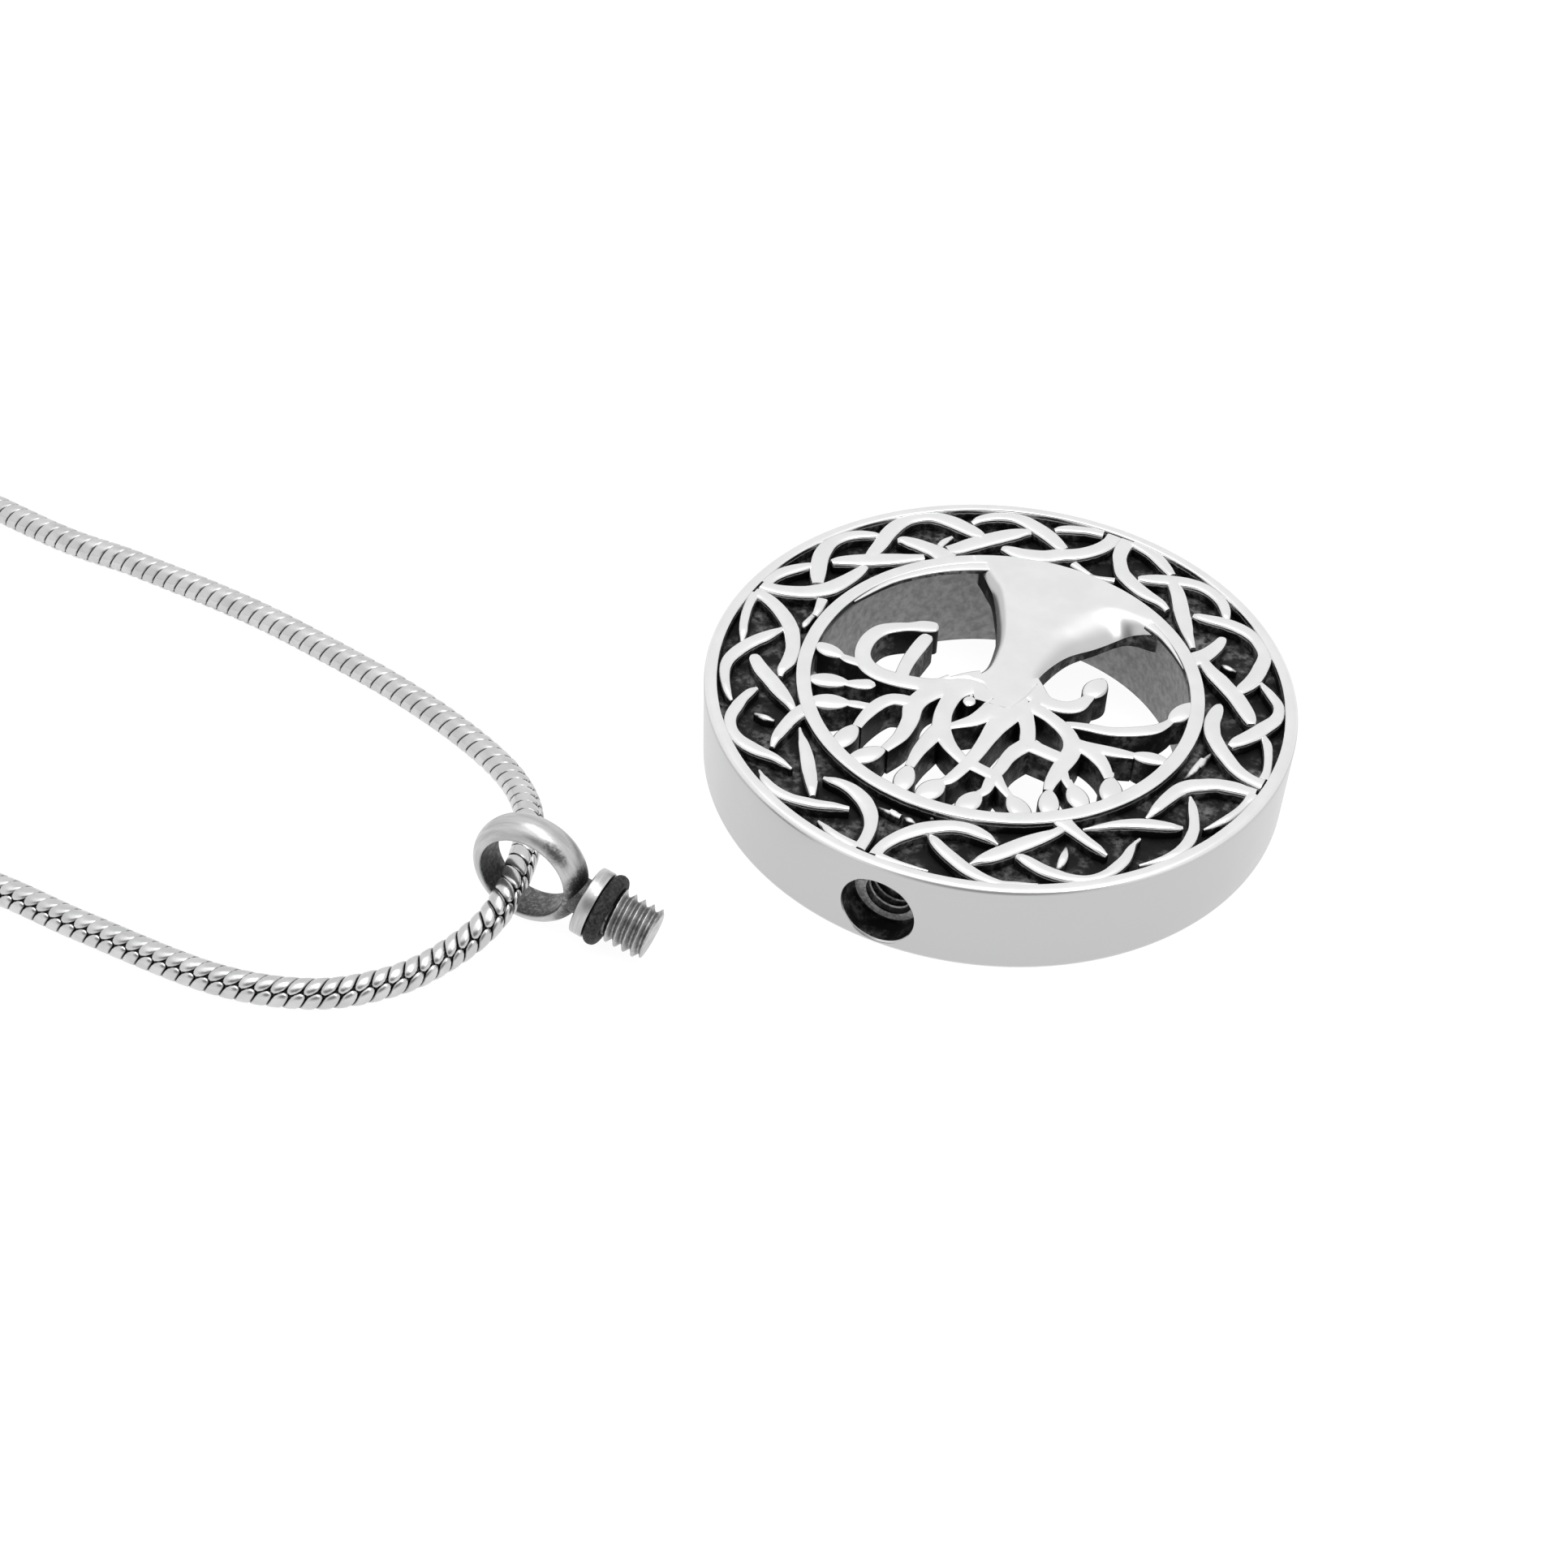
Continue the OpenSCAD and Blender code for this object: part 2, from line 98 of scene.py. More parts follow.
# Border knot
STRAND_TOP = 4.95
STRAND_DIVE = 0.25
DIVE_W = 0.45
STRAND_EDGE = 0.11
STRAND_CROWN = 0.02
STRAND_LEAST_W = 0.08
STRAND_ROOT = 0.12
LOW_TOP = 4.86
QUARTER_WEIGHTS = (1, 1.18, 1.06, 1)
KNOT_TURN = -4.7

# Tree
TREE_TOP = 4.97
TREE_BOTTOM = 3.5
BRANCH_EDGE = 0.11
BRANCH_CROWN = 0.012
BRANCH_HALF = 0.54
TWIG_W = 0.6
TWIG_DROP = 0.12
EDGE_SHARE = 0.15
LEAST_EDGE = 0.04
LEAF_SPAN = (-0.13, 0.996)
LEAF_POINTS = 22
LEAF_POWER = 0.62
LEAF_HALF = 0.57
LEAF_TIP_HALF = 0.004
STALK_SHARE = 0.4
STALK_FULLNESS = 0.3
LEAF_RISE = 0.02
LEAF_FALL = 0.09
LEAF_EDGE = 0.32
LEAF_CROWN = 0.05
CREASE_SLOPE = 0.75
CREASE_REACH = 3
LIP_BOTTOM = 4.72

# Bail screw, measured along its axis from the middle of the bail ring
BAIL_R = 2.75
EYE_R = 2.05
BAIL_HALF_W = 0.9
DOME_ANGLE = 82
# The eye's softened edge: (step out from the eye's wall, place across the ring)
EYE_EDGE = [(0.045, 0.875), (0.012, 0.83), (0, 0.76), (0, 0.4)]
NECK_R = 0.85
COLLAR_X = 2.87
COLLAR_T = 0.65
COLLAR_R = 1.6
# The collar's edges: (step in from its face, step in from its side)
COLLAR_NEAR_EDGE = [(0.001, 0.09), (0.03, 0.03), (0.09, 0)]
COLLAR_FAR_EDGE = [(0.07, 0), (0.02, 0.02), (0, 0.07)]
SHANK_R = 1.02
SEAL_X = 3.55
SEAL_R = 1.05
SEAL_T = 0.66
SEAL_STEPS = 40
SEAL_POWER = 0.9
SEAL_SQUEEZE = 0.985
MOULD_LINE = 0.012
THREAD_X = 4.24
TIP_X = 6.24
TIP_CHAMFER = 0.14
TIP_FACE = 0.16
# Where the thread starts: the shank's end before it, and how its first turn grows
THREAD_GAP = 0.12
THREAD_START = 0.3
THREAD_GROWTH = 1.2
BAIL_AT = (14.6, 19, BAIL_R)
BAIL_TURNS = (-4.5, 14.6281, 181)

# Chain and clasp
CHAIN_R = 0.69
LIE = 0.7
LINK = 0.7
# How far the slits between the plates stay open on top, along the chain's length
TOP_OPEN = [(0, 0), (251, 0), (255, 1), (263, 1), (270, 0), (510, 0)]
# Where the chain's outer seam lies above the level of its middle, in degrees, along its length
SEAM_LIFT = [(0, 30), (235, 32), (262, 43), (510, 43)]
# Plates: how far their ends are rounded, how deep their edges fall, steps along, share of half
# the chain's girth and lean, in links
BAND_ROUNDS = 0.36
BAND_DROP = 0.15
BAND_DROP_MIDDLE = 0.05
BAND_END_DROP = 0.08
BAND_STEPS = 15
BAND_SHARE = 1.06
BAND_LEAN = 1.5
# Places across a plate, and the power by which its edges fall away, less towards its ends
PLATE_ACROSS = np.array([-1, -0.92, -0.8, -0.5, 0, 0.5, 0.8, 0.92, 1])
EDGE_POWER = 10
EDGE_POWER_LOSS = 7.6
# Share of that fall where slits are closed, what is added where they are open, and the darkness
# of closed ones
CLOSED_FALL = 0.2
OPEN_FALL = 0.07
CLOSED_SHADE = 0.12
# A dark core between the plates, painted shade inside the chain
CORE_STEP = 0.9
CORE_SIDES = 10
CORE_SHADE = 1.4
CLASP_AT = (243, 18.6, 1.4)
CLASP_LEN = 9
CLASP_R = 1.4
SOCKET_DEPTH = 1.6
SOCKET_R = 0.78
CLASP_END_SHARE = 0.75
SHOULDER_LEN = 1.1
SHOULDER_EDGE = 0.1
# A turned groove of the clasp: (depth, place from its middle)
CLASP_GROOVE = [(0, 2.75), (0.05, 2.7), (0.05, 2.6), (0, 2.55)]
CHAIN_ROUTE = [
    (243, 12, 1.4), (239, 0.5, 0.9), (222, -13, LIE), (192, -19, LIE), (158, -17, LIE),
    (125, -10, LIE), (95, -2, LIE), (70, 4.5, LIE), (52, 7.3, LIE), (45, 7.5, LIE),
    (38, 7.9, LIE), (32.5, 8.7, LIE), (27, 9.8, LIE), (22.2, 11.3, LIE), (19, 13, 0.85),
    (16.7, 15.6, 1.5), (15.35, 19, 1.95), (15.2, 21.6, 1.5), (16.2, 23.8, 0.8),
    (17.6, 26.1, LIE), (20.2, 28.2, LIE), (24.5, 29.4, LIE), (31.4, 29.5, LIE),
    (38, 29.4, LIE), (52, 30.4, LIE), (70, 33.2, LIE), (95, 39.5, LIE), (125, 47.5, LIE),
    (158, 54.5, LIE), (192, 56.5, LIE), (222, 50.5, LIE), (239, 37, 0.9), (243, 25.2, 1.4),
]

# Border knot, by quarters, each strand as it was cast: (tenths of a degree clockwise from the
# quarter's joint, thousandths of the way from the band to the rim, width in hundredths of a
# millimetre). A strand sinks where it narrows, under the one that crosses it.
KNOT_UNITS = (10, 1000, 100)
FIRST_QUARTER = [
    [(12, 970, 62), (13, 850, 58), (17, 700, 60), (26, 550, 64), (46, 390, 74), (75, 275, 78),
     (100, 225, 76), (130, 198, 68), (160, 215, 56), (190, 270, 40), (210, 295, 20)],
    [(15, 960, 60), (40, 950, 50), (70, 940, 45), (90, 915, 40), (105, 885, 28), (120, 868, 15)],
    [(95, 465, 30), (125, 575, 46), (150, 680, 55), (175, 770, 56), (200, 855, 54), (225, 910, 56),
     (250, 935, 52), (275, 930, 42), (293, 900, 25), (306, 885, 12)],
    [(178, 620, 28), (200, 530, 52), (225, 440, 66), (250, 370, 70), (275, 305, 70),
     (300, 250, 64), (330, 200, 54), (360, 160, 36), (400, 110, 14)],
    [(276, 530, 16), (300, 575, 36), (325, 640, 48), (350, 740, 64), (375, 830, 70),
     (400, 900, 64), (425, 935, 60), (450, 930, 60), (475, 885, 62), (500, 790, 64),
     (525, 690, 54), (545, 590, 48), (562, 500, 26)],
    [(357, 570, 24), (375, 490, 44), (390, 410, 58), (410, 300, 64), (435, 160, 70), (452, 50, 76),
     (464, -50, 80)],
    [(464, 90, 30), (500, 130, 54), (525, 175, 70), (550, 225, 78), (575, 285, 80), (600, 355, 80),
     (625, 435, 80), (650, 505, 70), (666, 545, 60), (679, 570, 30)],
    [(526, 830, 15), (550, 865, 36), (580, 890, 46), (620, 905, 56), (650, 880, 64),
     (675, 815, 70), (700, 725, 72), (725, 620, 72), (750, 500, 68), (775, 400, 44),
     (795, 345, 30)],
    [(608, 200, 20), (630, 185, 50), (660, 125, 70), (690, 100, 74), (725, 105, 74),
     (760, 150, 78), (790, 210, 80), (820, 315, 80), (843, 440, 78), (862, 580, 74),
     (876, 730, 70), (882, 860, 66), (882, 970, 70)],
    [(720, 770, 16), (750, 800, 42), (775, 840, 46), (800, 875, 48), (830, 915, 48),
     (860, 945, 50), (880, 960, 60)],
]
SECOND_QUARTER = [
    [(14, 970, 64), (16, 800, 62), (27, 620, 70), (48, 430, 78), (73, 315, 80), (100, 235, 80),
     (130, 200, 78), (160, 190, 70), (190, 195, 62), (220, 220, 50), (240, 250, 36)],
    [(20, 960, 60), (45, 950, 55), (75, 910, 58), (100, 845, 56), (125, 770, 46), (145, 720, 30)],
    [(96, 400, 50), (125, 535, 70), (150, 650, 74), (175, 765, 76), (200, 855, 74), (225, 920, 66),
     (250, 940, 60), (275, 925, 56), (300, 875, 54), (320, 810, 46), (340, 750, 30)],
    [(182, 590, 36), (200, 550, 56), (225, 470, 70), (250, 385, 80), (280, 305, 80),
     (310, 235, 76), (340, 180, 68), (370, 135, 54), (410, 90, 40)],
    [(270, 400, 40), (295, 460, 60), (325, 560, 68), (350, 680, 72), (375, 790, 74),
     (400, 880, 70), (425, 935, 62), (450, 950, 60), (475, 935, 62), (500, 875, 72),
     (525, 770, 78), (550, 640, 74), (575, 510, 64), (590, 440, 40)],
    [(372, 560, 28), (386, 530, 50), (400, 460, 64), (415, 385, 70), (430, 300, 74),
     (450, 190, 80), (465, 80, 90), (480, -40, 90)],
    [(486, 160, 60), (520, 200, 72), (550, 260, 78), (580, 320, 80), (610, 390, 80),
     (640, 465, 78), (670, 540, 70), (693, 600, 50), (710, 630, 30)],
    [(568, 750, 26), (590, 835, 44), (615, 890, 52), (640, 910, 56), (665, 905, 60),
     (690, 860, 70), (715, 765, 75), (740, 670, 75), (765, 560, 70), (790, 440, 60),
     (806, 380, 45)],
    [(640, 210, 30), (665, 160, 60), (695, 115, 75), (730, 115, 80), (765, 150, 80),
     (800, 250, 78), (825, 310, 75), (850, 400, 72), (870, 520, 70), (885, 660, 68),
     (893, 820, 66), (894, 970, 70)],
    [(763, 760, 30), (785, 830, 48), (810, 880, 50), (835, 920, 46), (870, 955, 50)],
]
THIRD_QUARTER = [
    [(26, 980, 80), (28, 820, 76), (36, 640, 72), (50, 500, 70), (75, 340, 76), (100, 270, 78),
     (130, 215, 76), (160, 190, 74), (190, 190, 64), (225, 210, 48), (260, 200, 30)],
    [(40, 980, 50), (85, 950, 60), (110, 910, 66), (130, 860, 62), (150, 810, 54), (170, 760, 40)],
    [(120, 370, 35), (135, 430, 58), (155, 530, 72), (175, 630, 74), (195, 730, 74),
     (215, 820, 70), (240, 900, 64), (270, 930, 60), (300, 920, 58), (325, 870, 54),
     (345, 810, 44), (358, 780, 30)],
    [(190, 620, 45), (210, 580, 66), (235, 500, 74), (260, 410, 78), (290, 315, 78),
     (320, 240, 74), (350, 180, 66), (380, 130, 50), (430, 80, 30)],
    [(310, 430, 30), (325, 480, 48), (345, 580, 62), (365, 700, 68), (385, 800, 70),
     (410, 890, 68), (435, 935, 62), (460, 945, 60), (485, 940, 62), (505, 900, 68),
     (530, 810, 74), (555, 720, 74), (580, 610, 72), (600, 500, 62), (615, 430, 40)],
    [(410, 550, 28), (420, 510, 48), (435, 420, 62), (450, 310, 70), (465, 180, 80), (475, 50, 90),
     (480, -50, 90)],
    [(490, 110, 55), (520, 140, 64), (545, 180, 74), (570, 240, 80), (600, 310, 80),
     (630, 390, 82), (660, 460, 80), (690, 530, 74), (710, 570, 60), (724, 590, 38)],
    [(575, 760, 22), (600, 800, 38), (625, 860, 48), (650, 920, 52), (675, 920, 55),
     (700, 870, 64), (725, 760, 72), (750, 660, 74), (775, 550, 70), (795, 460, 60),
     (815, 400, 32)],
    [(663, 190, 28), (685, 160, 56), (710, 130, 70), (740, 110, 74), (770, 130, 76),
     (795, 170, 74), (820, 250, 74), (840, 330, 72), (860, 440, 70), (880, 570, 68),
     (893, 720, 64), (898, 870, 60), (898, 980, 70)],
    [(753, 760, 30), (780, 830, 44), (805, 870, 42), (830, 905, 40), (860, 940, 40),
     (885, 955, 50)],
]
FOURTH_QUARTER = [
    [(31, 970, 62), (35, 840, 68), (40, 700, 78), (55, 500, 76), (77, 370, 78), (100, 265, 78),
     (130, 210, 72), (170, 210, 66), (200, 230, 58), (225, 255, 46), (260, 290, 15)],
    [(35, 960, 60), (60, 950, 42), (90, 940, 38), (125, 915, 38), (150, 880, 30), (182, 835, 12)],
    [(123, 370, 16), (140, 455, 36), (160, 560, 48), (180, 670, 50), (200, 770, 54),
     (225, 860, 58), (250, 920, 55), (275, 950, 48), (300, 950, 38), (325, 930, 28),
     (355, 900, 12)],
    [(212, 655, 20), (230, 600, 44), (250, 500, 60), (275, 390, 66), (300, 310, 62),
     (330, 245, 52), (360, 205, 42), (390, 175, 32), (422, 145, 14)],
    [(312, 530, 14), (330, 570, 24), (350, 655, 42), (375, 775, 54), (400, 860, 58),
     (425, 925, 50), (450, 955, 44), (475, 950, 44), (500, 910, 54), (525, 830, 62),
     (550, 730, 66), (575, 600, 60), (590, 530, 44), (598, 500, 30)],
    [(404, 635, 22), (415, 520, 44), (433, 330, 54), (450, 140, 66), (462, 20, 85),
     (468, -60, 90)],
    [(470, 90, 40), (500, 160, 50), (525, 200, 64), (550, 245, 74), (575, 300, 80), (600, 365, 80),
     (625, 445, 80), (650, 530, 74), (670, 600, 56), (696, 690, 16)],
    [(562, 945, 12), (600, 965, 34), (630, 975, 40), (655, 940, 50), (680, 870, 60),
     (705, 780, 66), (730, 670, 66), (755, 565, 62), (777, 465, 54), (792, 390, 35),
     (800, 350, 20)],
    [(638, 310, 15), (660, 240, 46), (685, 175, 64), (710, 135, 70), (740, 130, 72),
     (770, 165, 74), (800, 240, 78), (825, 330, 76), (845, 450, 72), (860, 570, 66),
     (872, 720, 62), (877, 860, 58), (876, 970, 66)],
    [(772, 920, 12), (800, 940, 28), (825, 945, 32), (850, 950, 38), (875, 965, 50)],
]
# Low scraps of strands that show in the gaps, by quarters
LOW_SCRAPS = [
    [[(-16, 200, 34), (20, 200, 26), (48, 190, 10)],
     [(446, 370, 20), (460, 470, 36), (480, 580, 20)],
     [(826, 120, 14), (840, 120, 34), (880, 110, 30), (916, 110, 30)]],
    [[(-16, 85, 30), (15, 105, 40), (55, 170, 50)],
     [(460, 260, 26), (485, 390, 34), (513, 500, 22)],
     [(845, 170, 40), (870, 120, 34), (916, 75, 20)]],
    [[(-16, 70, 20), (20, 80, 25), (50, 105, 35), (75, 150, 40)],
     [(500, 350, 14), (514, 400, 30), (530, 500, 16)],
     [(850, 220, 14), (880, 190, 26), (916, 170, 32)]],
    [[(-16, 170, 34), (20, 155, 34), (55, 145, 26), (76, 125, 10)],
     [(480, 370, 18), (496, 550, 42), (516, 710, 22)],
     [(840, 220, 12), (860, 200, 32), (876, 180, 16)],
     [(884, 210, 20), (900, 190, 34), (916, 180, 32)],
     [(807, 55, 16), (812, 55, 22), (817, 55, 16)]],
]

# Branches of the tree, in thousandths of the opening's radius: (x, y, width)
BRANCHES = [
    [(-195, 103, 103), (-308, 133, 78), (-410, 180, 82), (-482, 236, 86), (-523, 308, 94),
     (-531, 390, 96), (-521, 502, 84), (-519, 605, 64), (-527, 665, 45)],
    [(-560, 285, 82), (-605, 293, 82), (-666, 322, 82), (-722, 373, 66), (-772, 440, 50)],
    [(-490, 262, 60), (-574, 270, 74), (-718, 246, 74), (-825, 221, 50)],
    [(-430, 170, 60), (-455, 148, 50), (-533, 127, 57), (-656, 103, 66), (-769, 45, 70),
     (-851, -16, 66), (-892, -82, 49), (-910, -135, 36)],
    [(-520, 450, 50), (-539, 482, 45), (-574, 543, 45), (-620, 592, 40)],
    [(-376, 797, 36), (-318, 754, 49), (-262, 701, 66), (-240, 670, 66)],
    [(-240, 691, 74), (-180, 680, 70), (-100, 665, 74)],
    [(-226, 850, 48), (-246, 810, 53), (-244, 748, 62), (-244, 687, 66), (-254, 615, 68),
     (-256, 543, 74), (-271, 472, 86), (-303, 400, 90)],
    [(-540, 420, 82), (-410, 404, 86), (-300, 390, 90)],
    [(-312, 410, 84), (-271, 287, 78), (-226, 205, 86), (-164, 113, 103)],
    [(-30, 855, 44), (-57, 810, 62), (-88, 683, 70), (-103, 574, 76), (-109, 461, 86),
     (-115, 349, 107), (-133, 226, 135), (-140, 120, 140)],
    [(-95, 670, 62), (-45, 648, 62), (45, 584, 78), (127, 496, 98)],
    [(164, 824, 48), (168, 703, 70), (158, 601, 86), (144, 500, 90)],
    [(122, 510, 103), (164, 390, 94), (178, 287, 92), (172, 195, 98), (127, 113, 115),
     (62, 72, 131), (0, 40, 140)],
    [(120, 460, 40), (78, 426, 53), (10, 353, 82), (-29, 271, 103), (-51, 185, 123),
     (-40, 90, 140)],
    [(330, 765, 50), (301, 666, 70), (295, 595, 82), (303, 492, 90), (328, 400, 103),
     (320, 318, 107), (277, 215, 123), (215, 110, 123)],
    [(526, 672, 50), (523, 595, 62), (506, 492, 78), (472, 414, 82), (420, 379, 86),
     (330, 365, 86)],
    [(660, 524, 34), (605, 517, 57), (543, 500, 49), (510, 485, 49)],
    [(724, 386, 37), (656, 365, 74), (605, 338, 74), (580, 320, 30)],
    [(90, 20, 123), (144, 62, 123), (215, 133, 115), (297, 189, 103), (379, 217, 103),
     (492, 238, 103), (595, 238, 98), (677, 205, 94), (734, 139, 86), (759, 51, 86),
     (756, -31, 88), (728, -103, 88), (670, -156, 78), (605, -195, 70), (549, -228, 92),
     (502, -248, 90), (474, -256, 72), (462, -260, 40)],
    [(680, 205, 49), (779, 205, 57), (828, 195, 41)],
    [(476, 230, 74), (492, 133, 72), (498, 30, 78), (494, -80, 82), (488, -150, 74),
     (484, -178, 44)],
    [(-120, -60, 150), (-154, -31, 144), (-205, 10, 127), (-267, 41, 98), (-328, 45, 90),
     (-390, 31, 90), (-435, -10, 86), (-457, -72, 62), (-465, -118, 52)],
]
# Where the band widens on either side of the trunk's foot
LIPS = [
    [(400, -930, 140), (473, -890, 122), (621, -794, 104), (749, -674, 88), (873, -504, 62),
     (974, -261, 28)],
    [(-560, -840, 110), (-612, -806, 92), (-660, -766, 74), (-749, -674, 46), (-840, -560, 22)],
]

# Leaves, in thousandths of the opening's radius: (x and y of the stalk, x and y of the tip, width)
LEAVES = [
    (-527, 650, -600, 850, 98), (-774, 420, -845, 620, 110), (-805, 218, -1010, 180, 86),
    (-900, -112, -985, -325, 103), (-612, 565, -745, 725, 103), (-362, 785, -525, 920, 103),
    (-228, 828, -178, 1022, 107), (-32, 832, 38, 1028, 115), (167, 806, 135, 1028, 98),
    (326, 752, 468, 940, 103), (532, 654, 562, 880, 103), (632, 515, 850, 606, 111),
    (704, 372, 925, 444, 103), (812, 196, 1015, 166, 90), (-452, -84, -484, -282, 112),
    (90, 175, 78, 262, 62),
]

# Fine creases between the trunk and its branches, in thousandths of the opening's radius
CREASES = [
    [(262, 118, 4), (220, 88, 7), (185, 69, 9), (150, 60, 5), (115, 53, 8), (70, 62, 7),
     (30, 96, 4)],
    [(-184, -66, 4), (-176, -20, 7), (-166, 40, 9), (-152, 92, 8), (-127, 170, 4)],
    [(-20, 150, 4), (-8, 190, 7), (6, 226, 4)],
]

# Flanks of the trunk from its foot to its crown, in thousandths of the opening's radius:
# (x, y, width of the slope along that edge, drop of the slope)
LEFT_FLANK = [
    (-669, -797, 80, 4), (-640, -760, 150, 9), (-590, -728, 190, 27), (-537, -703, 210, 56),
    (-488, -666, 222, 82), (-445, -603, 230, 98), (-404, -540, 230, 98), (-360, -480, 220, 94),
    (-310, -424, 205, 88), (-264, -366, 185, 78), (-229, -296, 165, 66), (-201, -215, 140, 54),
    (-182, -133, 112, 42), (-178, -60, 85, 28), (-195, 25, 55, 14), (-190, 103, 22, 6),
    (-120, 190, 16, 4),
]
RIGHT_FLANK = [
    (551, -882, 30, 10), (510, -868, 40, 18), (470, -850, 52, 26), (410, -787, 62, 36),
    (353, -718, 70, 46), (303, -660, 76, 53), (262, -590, 78, 56), (219, -504, 78, 56),
    (176, -412, 74, 53), (135, -299, 68, 48), (113, -201, 60, 40), (98, -94, 48, 29),
    (107, -25, 34, 18), (150, 60, 20, 8), (110, 130, 16, 6), (60, 200, 16, 4),
]
# Where the trunk's foot runs into the band: its first and last angle, and its radius as a share
FOOT_ANGLES = (-130, -58)
FOOT_SHARE = 1.068
# How far a point is moved for each step down, to lie on the same line of sight
TOWARDS_CAMERA = (-0.435, 0.965)
TRUNK_BOTTOM = 3.7
TRUNK_ROWS = 72
TRUNK_COLUMNS = 40
# How fast the foot's bulge and its rise to the band fade, and how far it stands above the band
FOOT_FADE = 1.6
FOOT_RISE = 2.4
FOOT_PROUD = 0.003

# A painted dark reflection on the ring: place around and across the ring, and its two reaches
REFLECTION_PATCH = (5.5, -0.64, 1.1, 0.3)
# Darkness of the eye, the painted reflection, the thread's crests, the grooves' painted shade, and
# the tip
EYE_DARK = 0.62
REFLECTION_DARK = 0.8
CREST_DARK = 0.2
GROOVE_SHADE = 0.35
TIP_DARK = 0.24
# Painted shade around the neck: its start before the collar, its reach along and around the axis
NECK_SHADE_START = 0.35
NECK_SHADE_LENGTH = 0.95
NECK_SHADE_LIMIT = 2.9
NECK_SHADE_FADE = 0.75

# Camera, as recovered from the photograph
CAMERA_AT = (-25.4006, 80.7867, 77.1421)
CAMERA_RIGHT = (-0.900497, -0.434000, 0.027375)
CAMERA_DOWN = (-0.316134, 0.610114, -0.726513)
CAMERA_FORWARD = (0.298604, -0.662877, -0.686608)
CAMERA_LENS = 53.79

# The sky: its strength, how much brighter it is overhead, and how much dimmer on the side from
# which the photograph was taken. Each patch fades in between two cosines.
SKY = 1.0
OVERHEAD = (0.75, 0.97)
OVERHEAD_GAIN = 0.6
DIM_SIDE = (0.72, 0.97)
DIM_LOSS = 0.72
# The key light: start, end, what it looks at, width and power
KEY_LIGHT = ((-0.24, 0.08, 0.33), (0.16, -0.12, 0.43), (0.01, 0.01, 0), 0.12, 0.45)
# The floor, in metres, and the look of its shader
GROUND_HALF = 4.0
GROUND_Z = -0.00002
GROUND_LOOK = {"Base Color": (0.12, 0.12, 0.12, 1), "Emission Color": (1, 1, 1, 1),
               "Emission Strength": 0.94, "Roughness": 0.9, "Specular IOR Level": 0.1}

# Where the locket's blackening fades, in millimetres: by height in the recess, by radius at the
# band, in the opening and at its wall, by height down that wall; and where the painted shade
# inside the hole ends, by radius at the edge
BLACK_HEIGHT = (4.79, 4.68)
BLACK_BAND = (9.6, 9.64)
BLACK_INSIDE = (9.0, 8.97)
WALL_ZONE = (8.8, 8.9)
WALL_HEIGHT = (4.75, 4.45)
EDGE_ZONE = (13.98, 13.9)


def between(p, i, u):
    """Point at share u between points i and i + 1 of a list, on a smooth curve."""
    a, b = p[max(i - 1, 0)], p[i]
    c, d = p[i + 1], p[min(i + 2, len(p) - 1)]
    return (2 * b + (c - a) * u + (2 * a - 5 * b + 4 * c - d) * u**2
            + (3 * b - 3 * c + d - a) * u**3) / 2


def curve(points, steps=4):
    """Smooth curve through a list of points, with a number of steps between each two."""
    p = np.array(points, float)
    made = [between(p, i, k / steps) for i in range(len(p) - 1) for k in range(steps)]
    return np.array(made + [p[-1]])


def resampled(points, count):
    """The same line with a number of evenly spaced points."""
    p = np.array(points, float)
    run = np.concatenate([[0], np.cumsum(np.linalg.norm(np.diff(p[:, :2], axis=0), axis=1))])
    at = np.linspace(0, run[-1], count)
    return np.stack([np.interp(at, run, p[:, k]) for k in range(p.shape[1])], axis=1)


def directions(p):
    """Unit direction of a line at each of its points."""
    d = np.gradient(p, axis=0)
    return d / np.linalg.norm(d, axis=1)[:, None]


def smooth_share(x):
    """Goes softly from 0 to 1 as x does."""
    x = np.clip(x, 0, 1)
    return x * x * (3 - 2 * x)


def placed(name, data):
    """An object of the scene that holds some data."""
    made = bpy.data.objects.new(name, data)
    bpy.context.scene.collection.objects.link(made)
    return made


def mesh_piece(name, points, faces):
    """An object made of points in millimetres, with its faces turned outwards."""
    mesh = bpy.data.meshes.new(name)
    mesh.from_pydata([tuple(MM * c for c in p) for p in points], [], faces)
    made = bmesh.new()
    made.from_mesh(mesh)
    bmesh.ops.recalc_face_normals(made, faces=made.faces)
    made.to_mesh(mesh)
    made.free()
    return placed(name, mesh)


def grid_faces(rows, columns, close_rows=False, close_columns=False):
    """Quads of a grid whose points are numbered row by row."""
    faces = []
    for i in range(rows if close_rows else rows - 1):
        for k in range(columns if close_columns else columns - 1):
            i2, k2 = (i + 1) % rows, (k + 1) % columns
            faces.append((i * columns + k, i * columns + k2, i2 * columns + k2, i2 * columns + k))
    return faces


def tube_faces(rows, columns):
    """Faces of a tube whose points are numbered ring by ring, with both ends closed."""
    last = (rows - 1) * columns
    faces = grid_faces(rows, columns, close_columns=True)
    return faces + [list(range(columns)), list(range(last, last + columns))]


def revolved(name, profile, steps, closed=True):
    """A body turned about Z from a profile of (radius, z). Flat caps close the two ends of an
    open profile."""
    turns = np.linspace(0, 2 * math.pi, steps, endpoint=False)
    points = [(r * math.cos(a), r * math.sin(a), z) for a in turns for r, z in profile]
    n = len(profile)
    faces = grid_faces(steps, n, close_rows=True, close_columns=closed)
    if not closed:
        faces.append([i * n for i in range(steps)])
        faces.append([i * n + n - 1 for i in range(steps)])
    return mesh_piece(name, points, faces)


def arc(cx, cz, rx, rz, start, end, steps):
    """Points of a part of an ellipse, from angle start to angle end in degrees."""
    angles = np.radians(np.linspace(start, end, steps + 1))
    return [(cx + rx * math.cos(a), cz + rz * math.sin(a)) for a in angles]


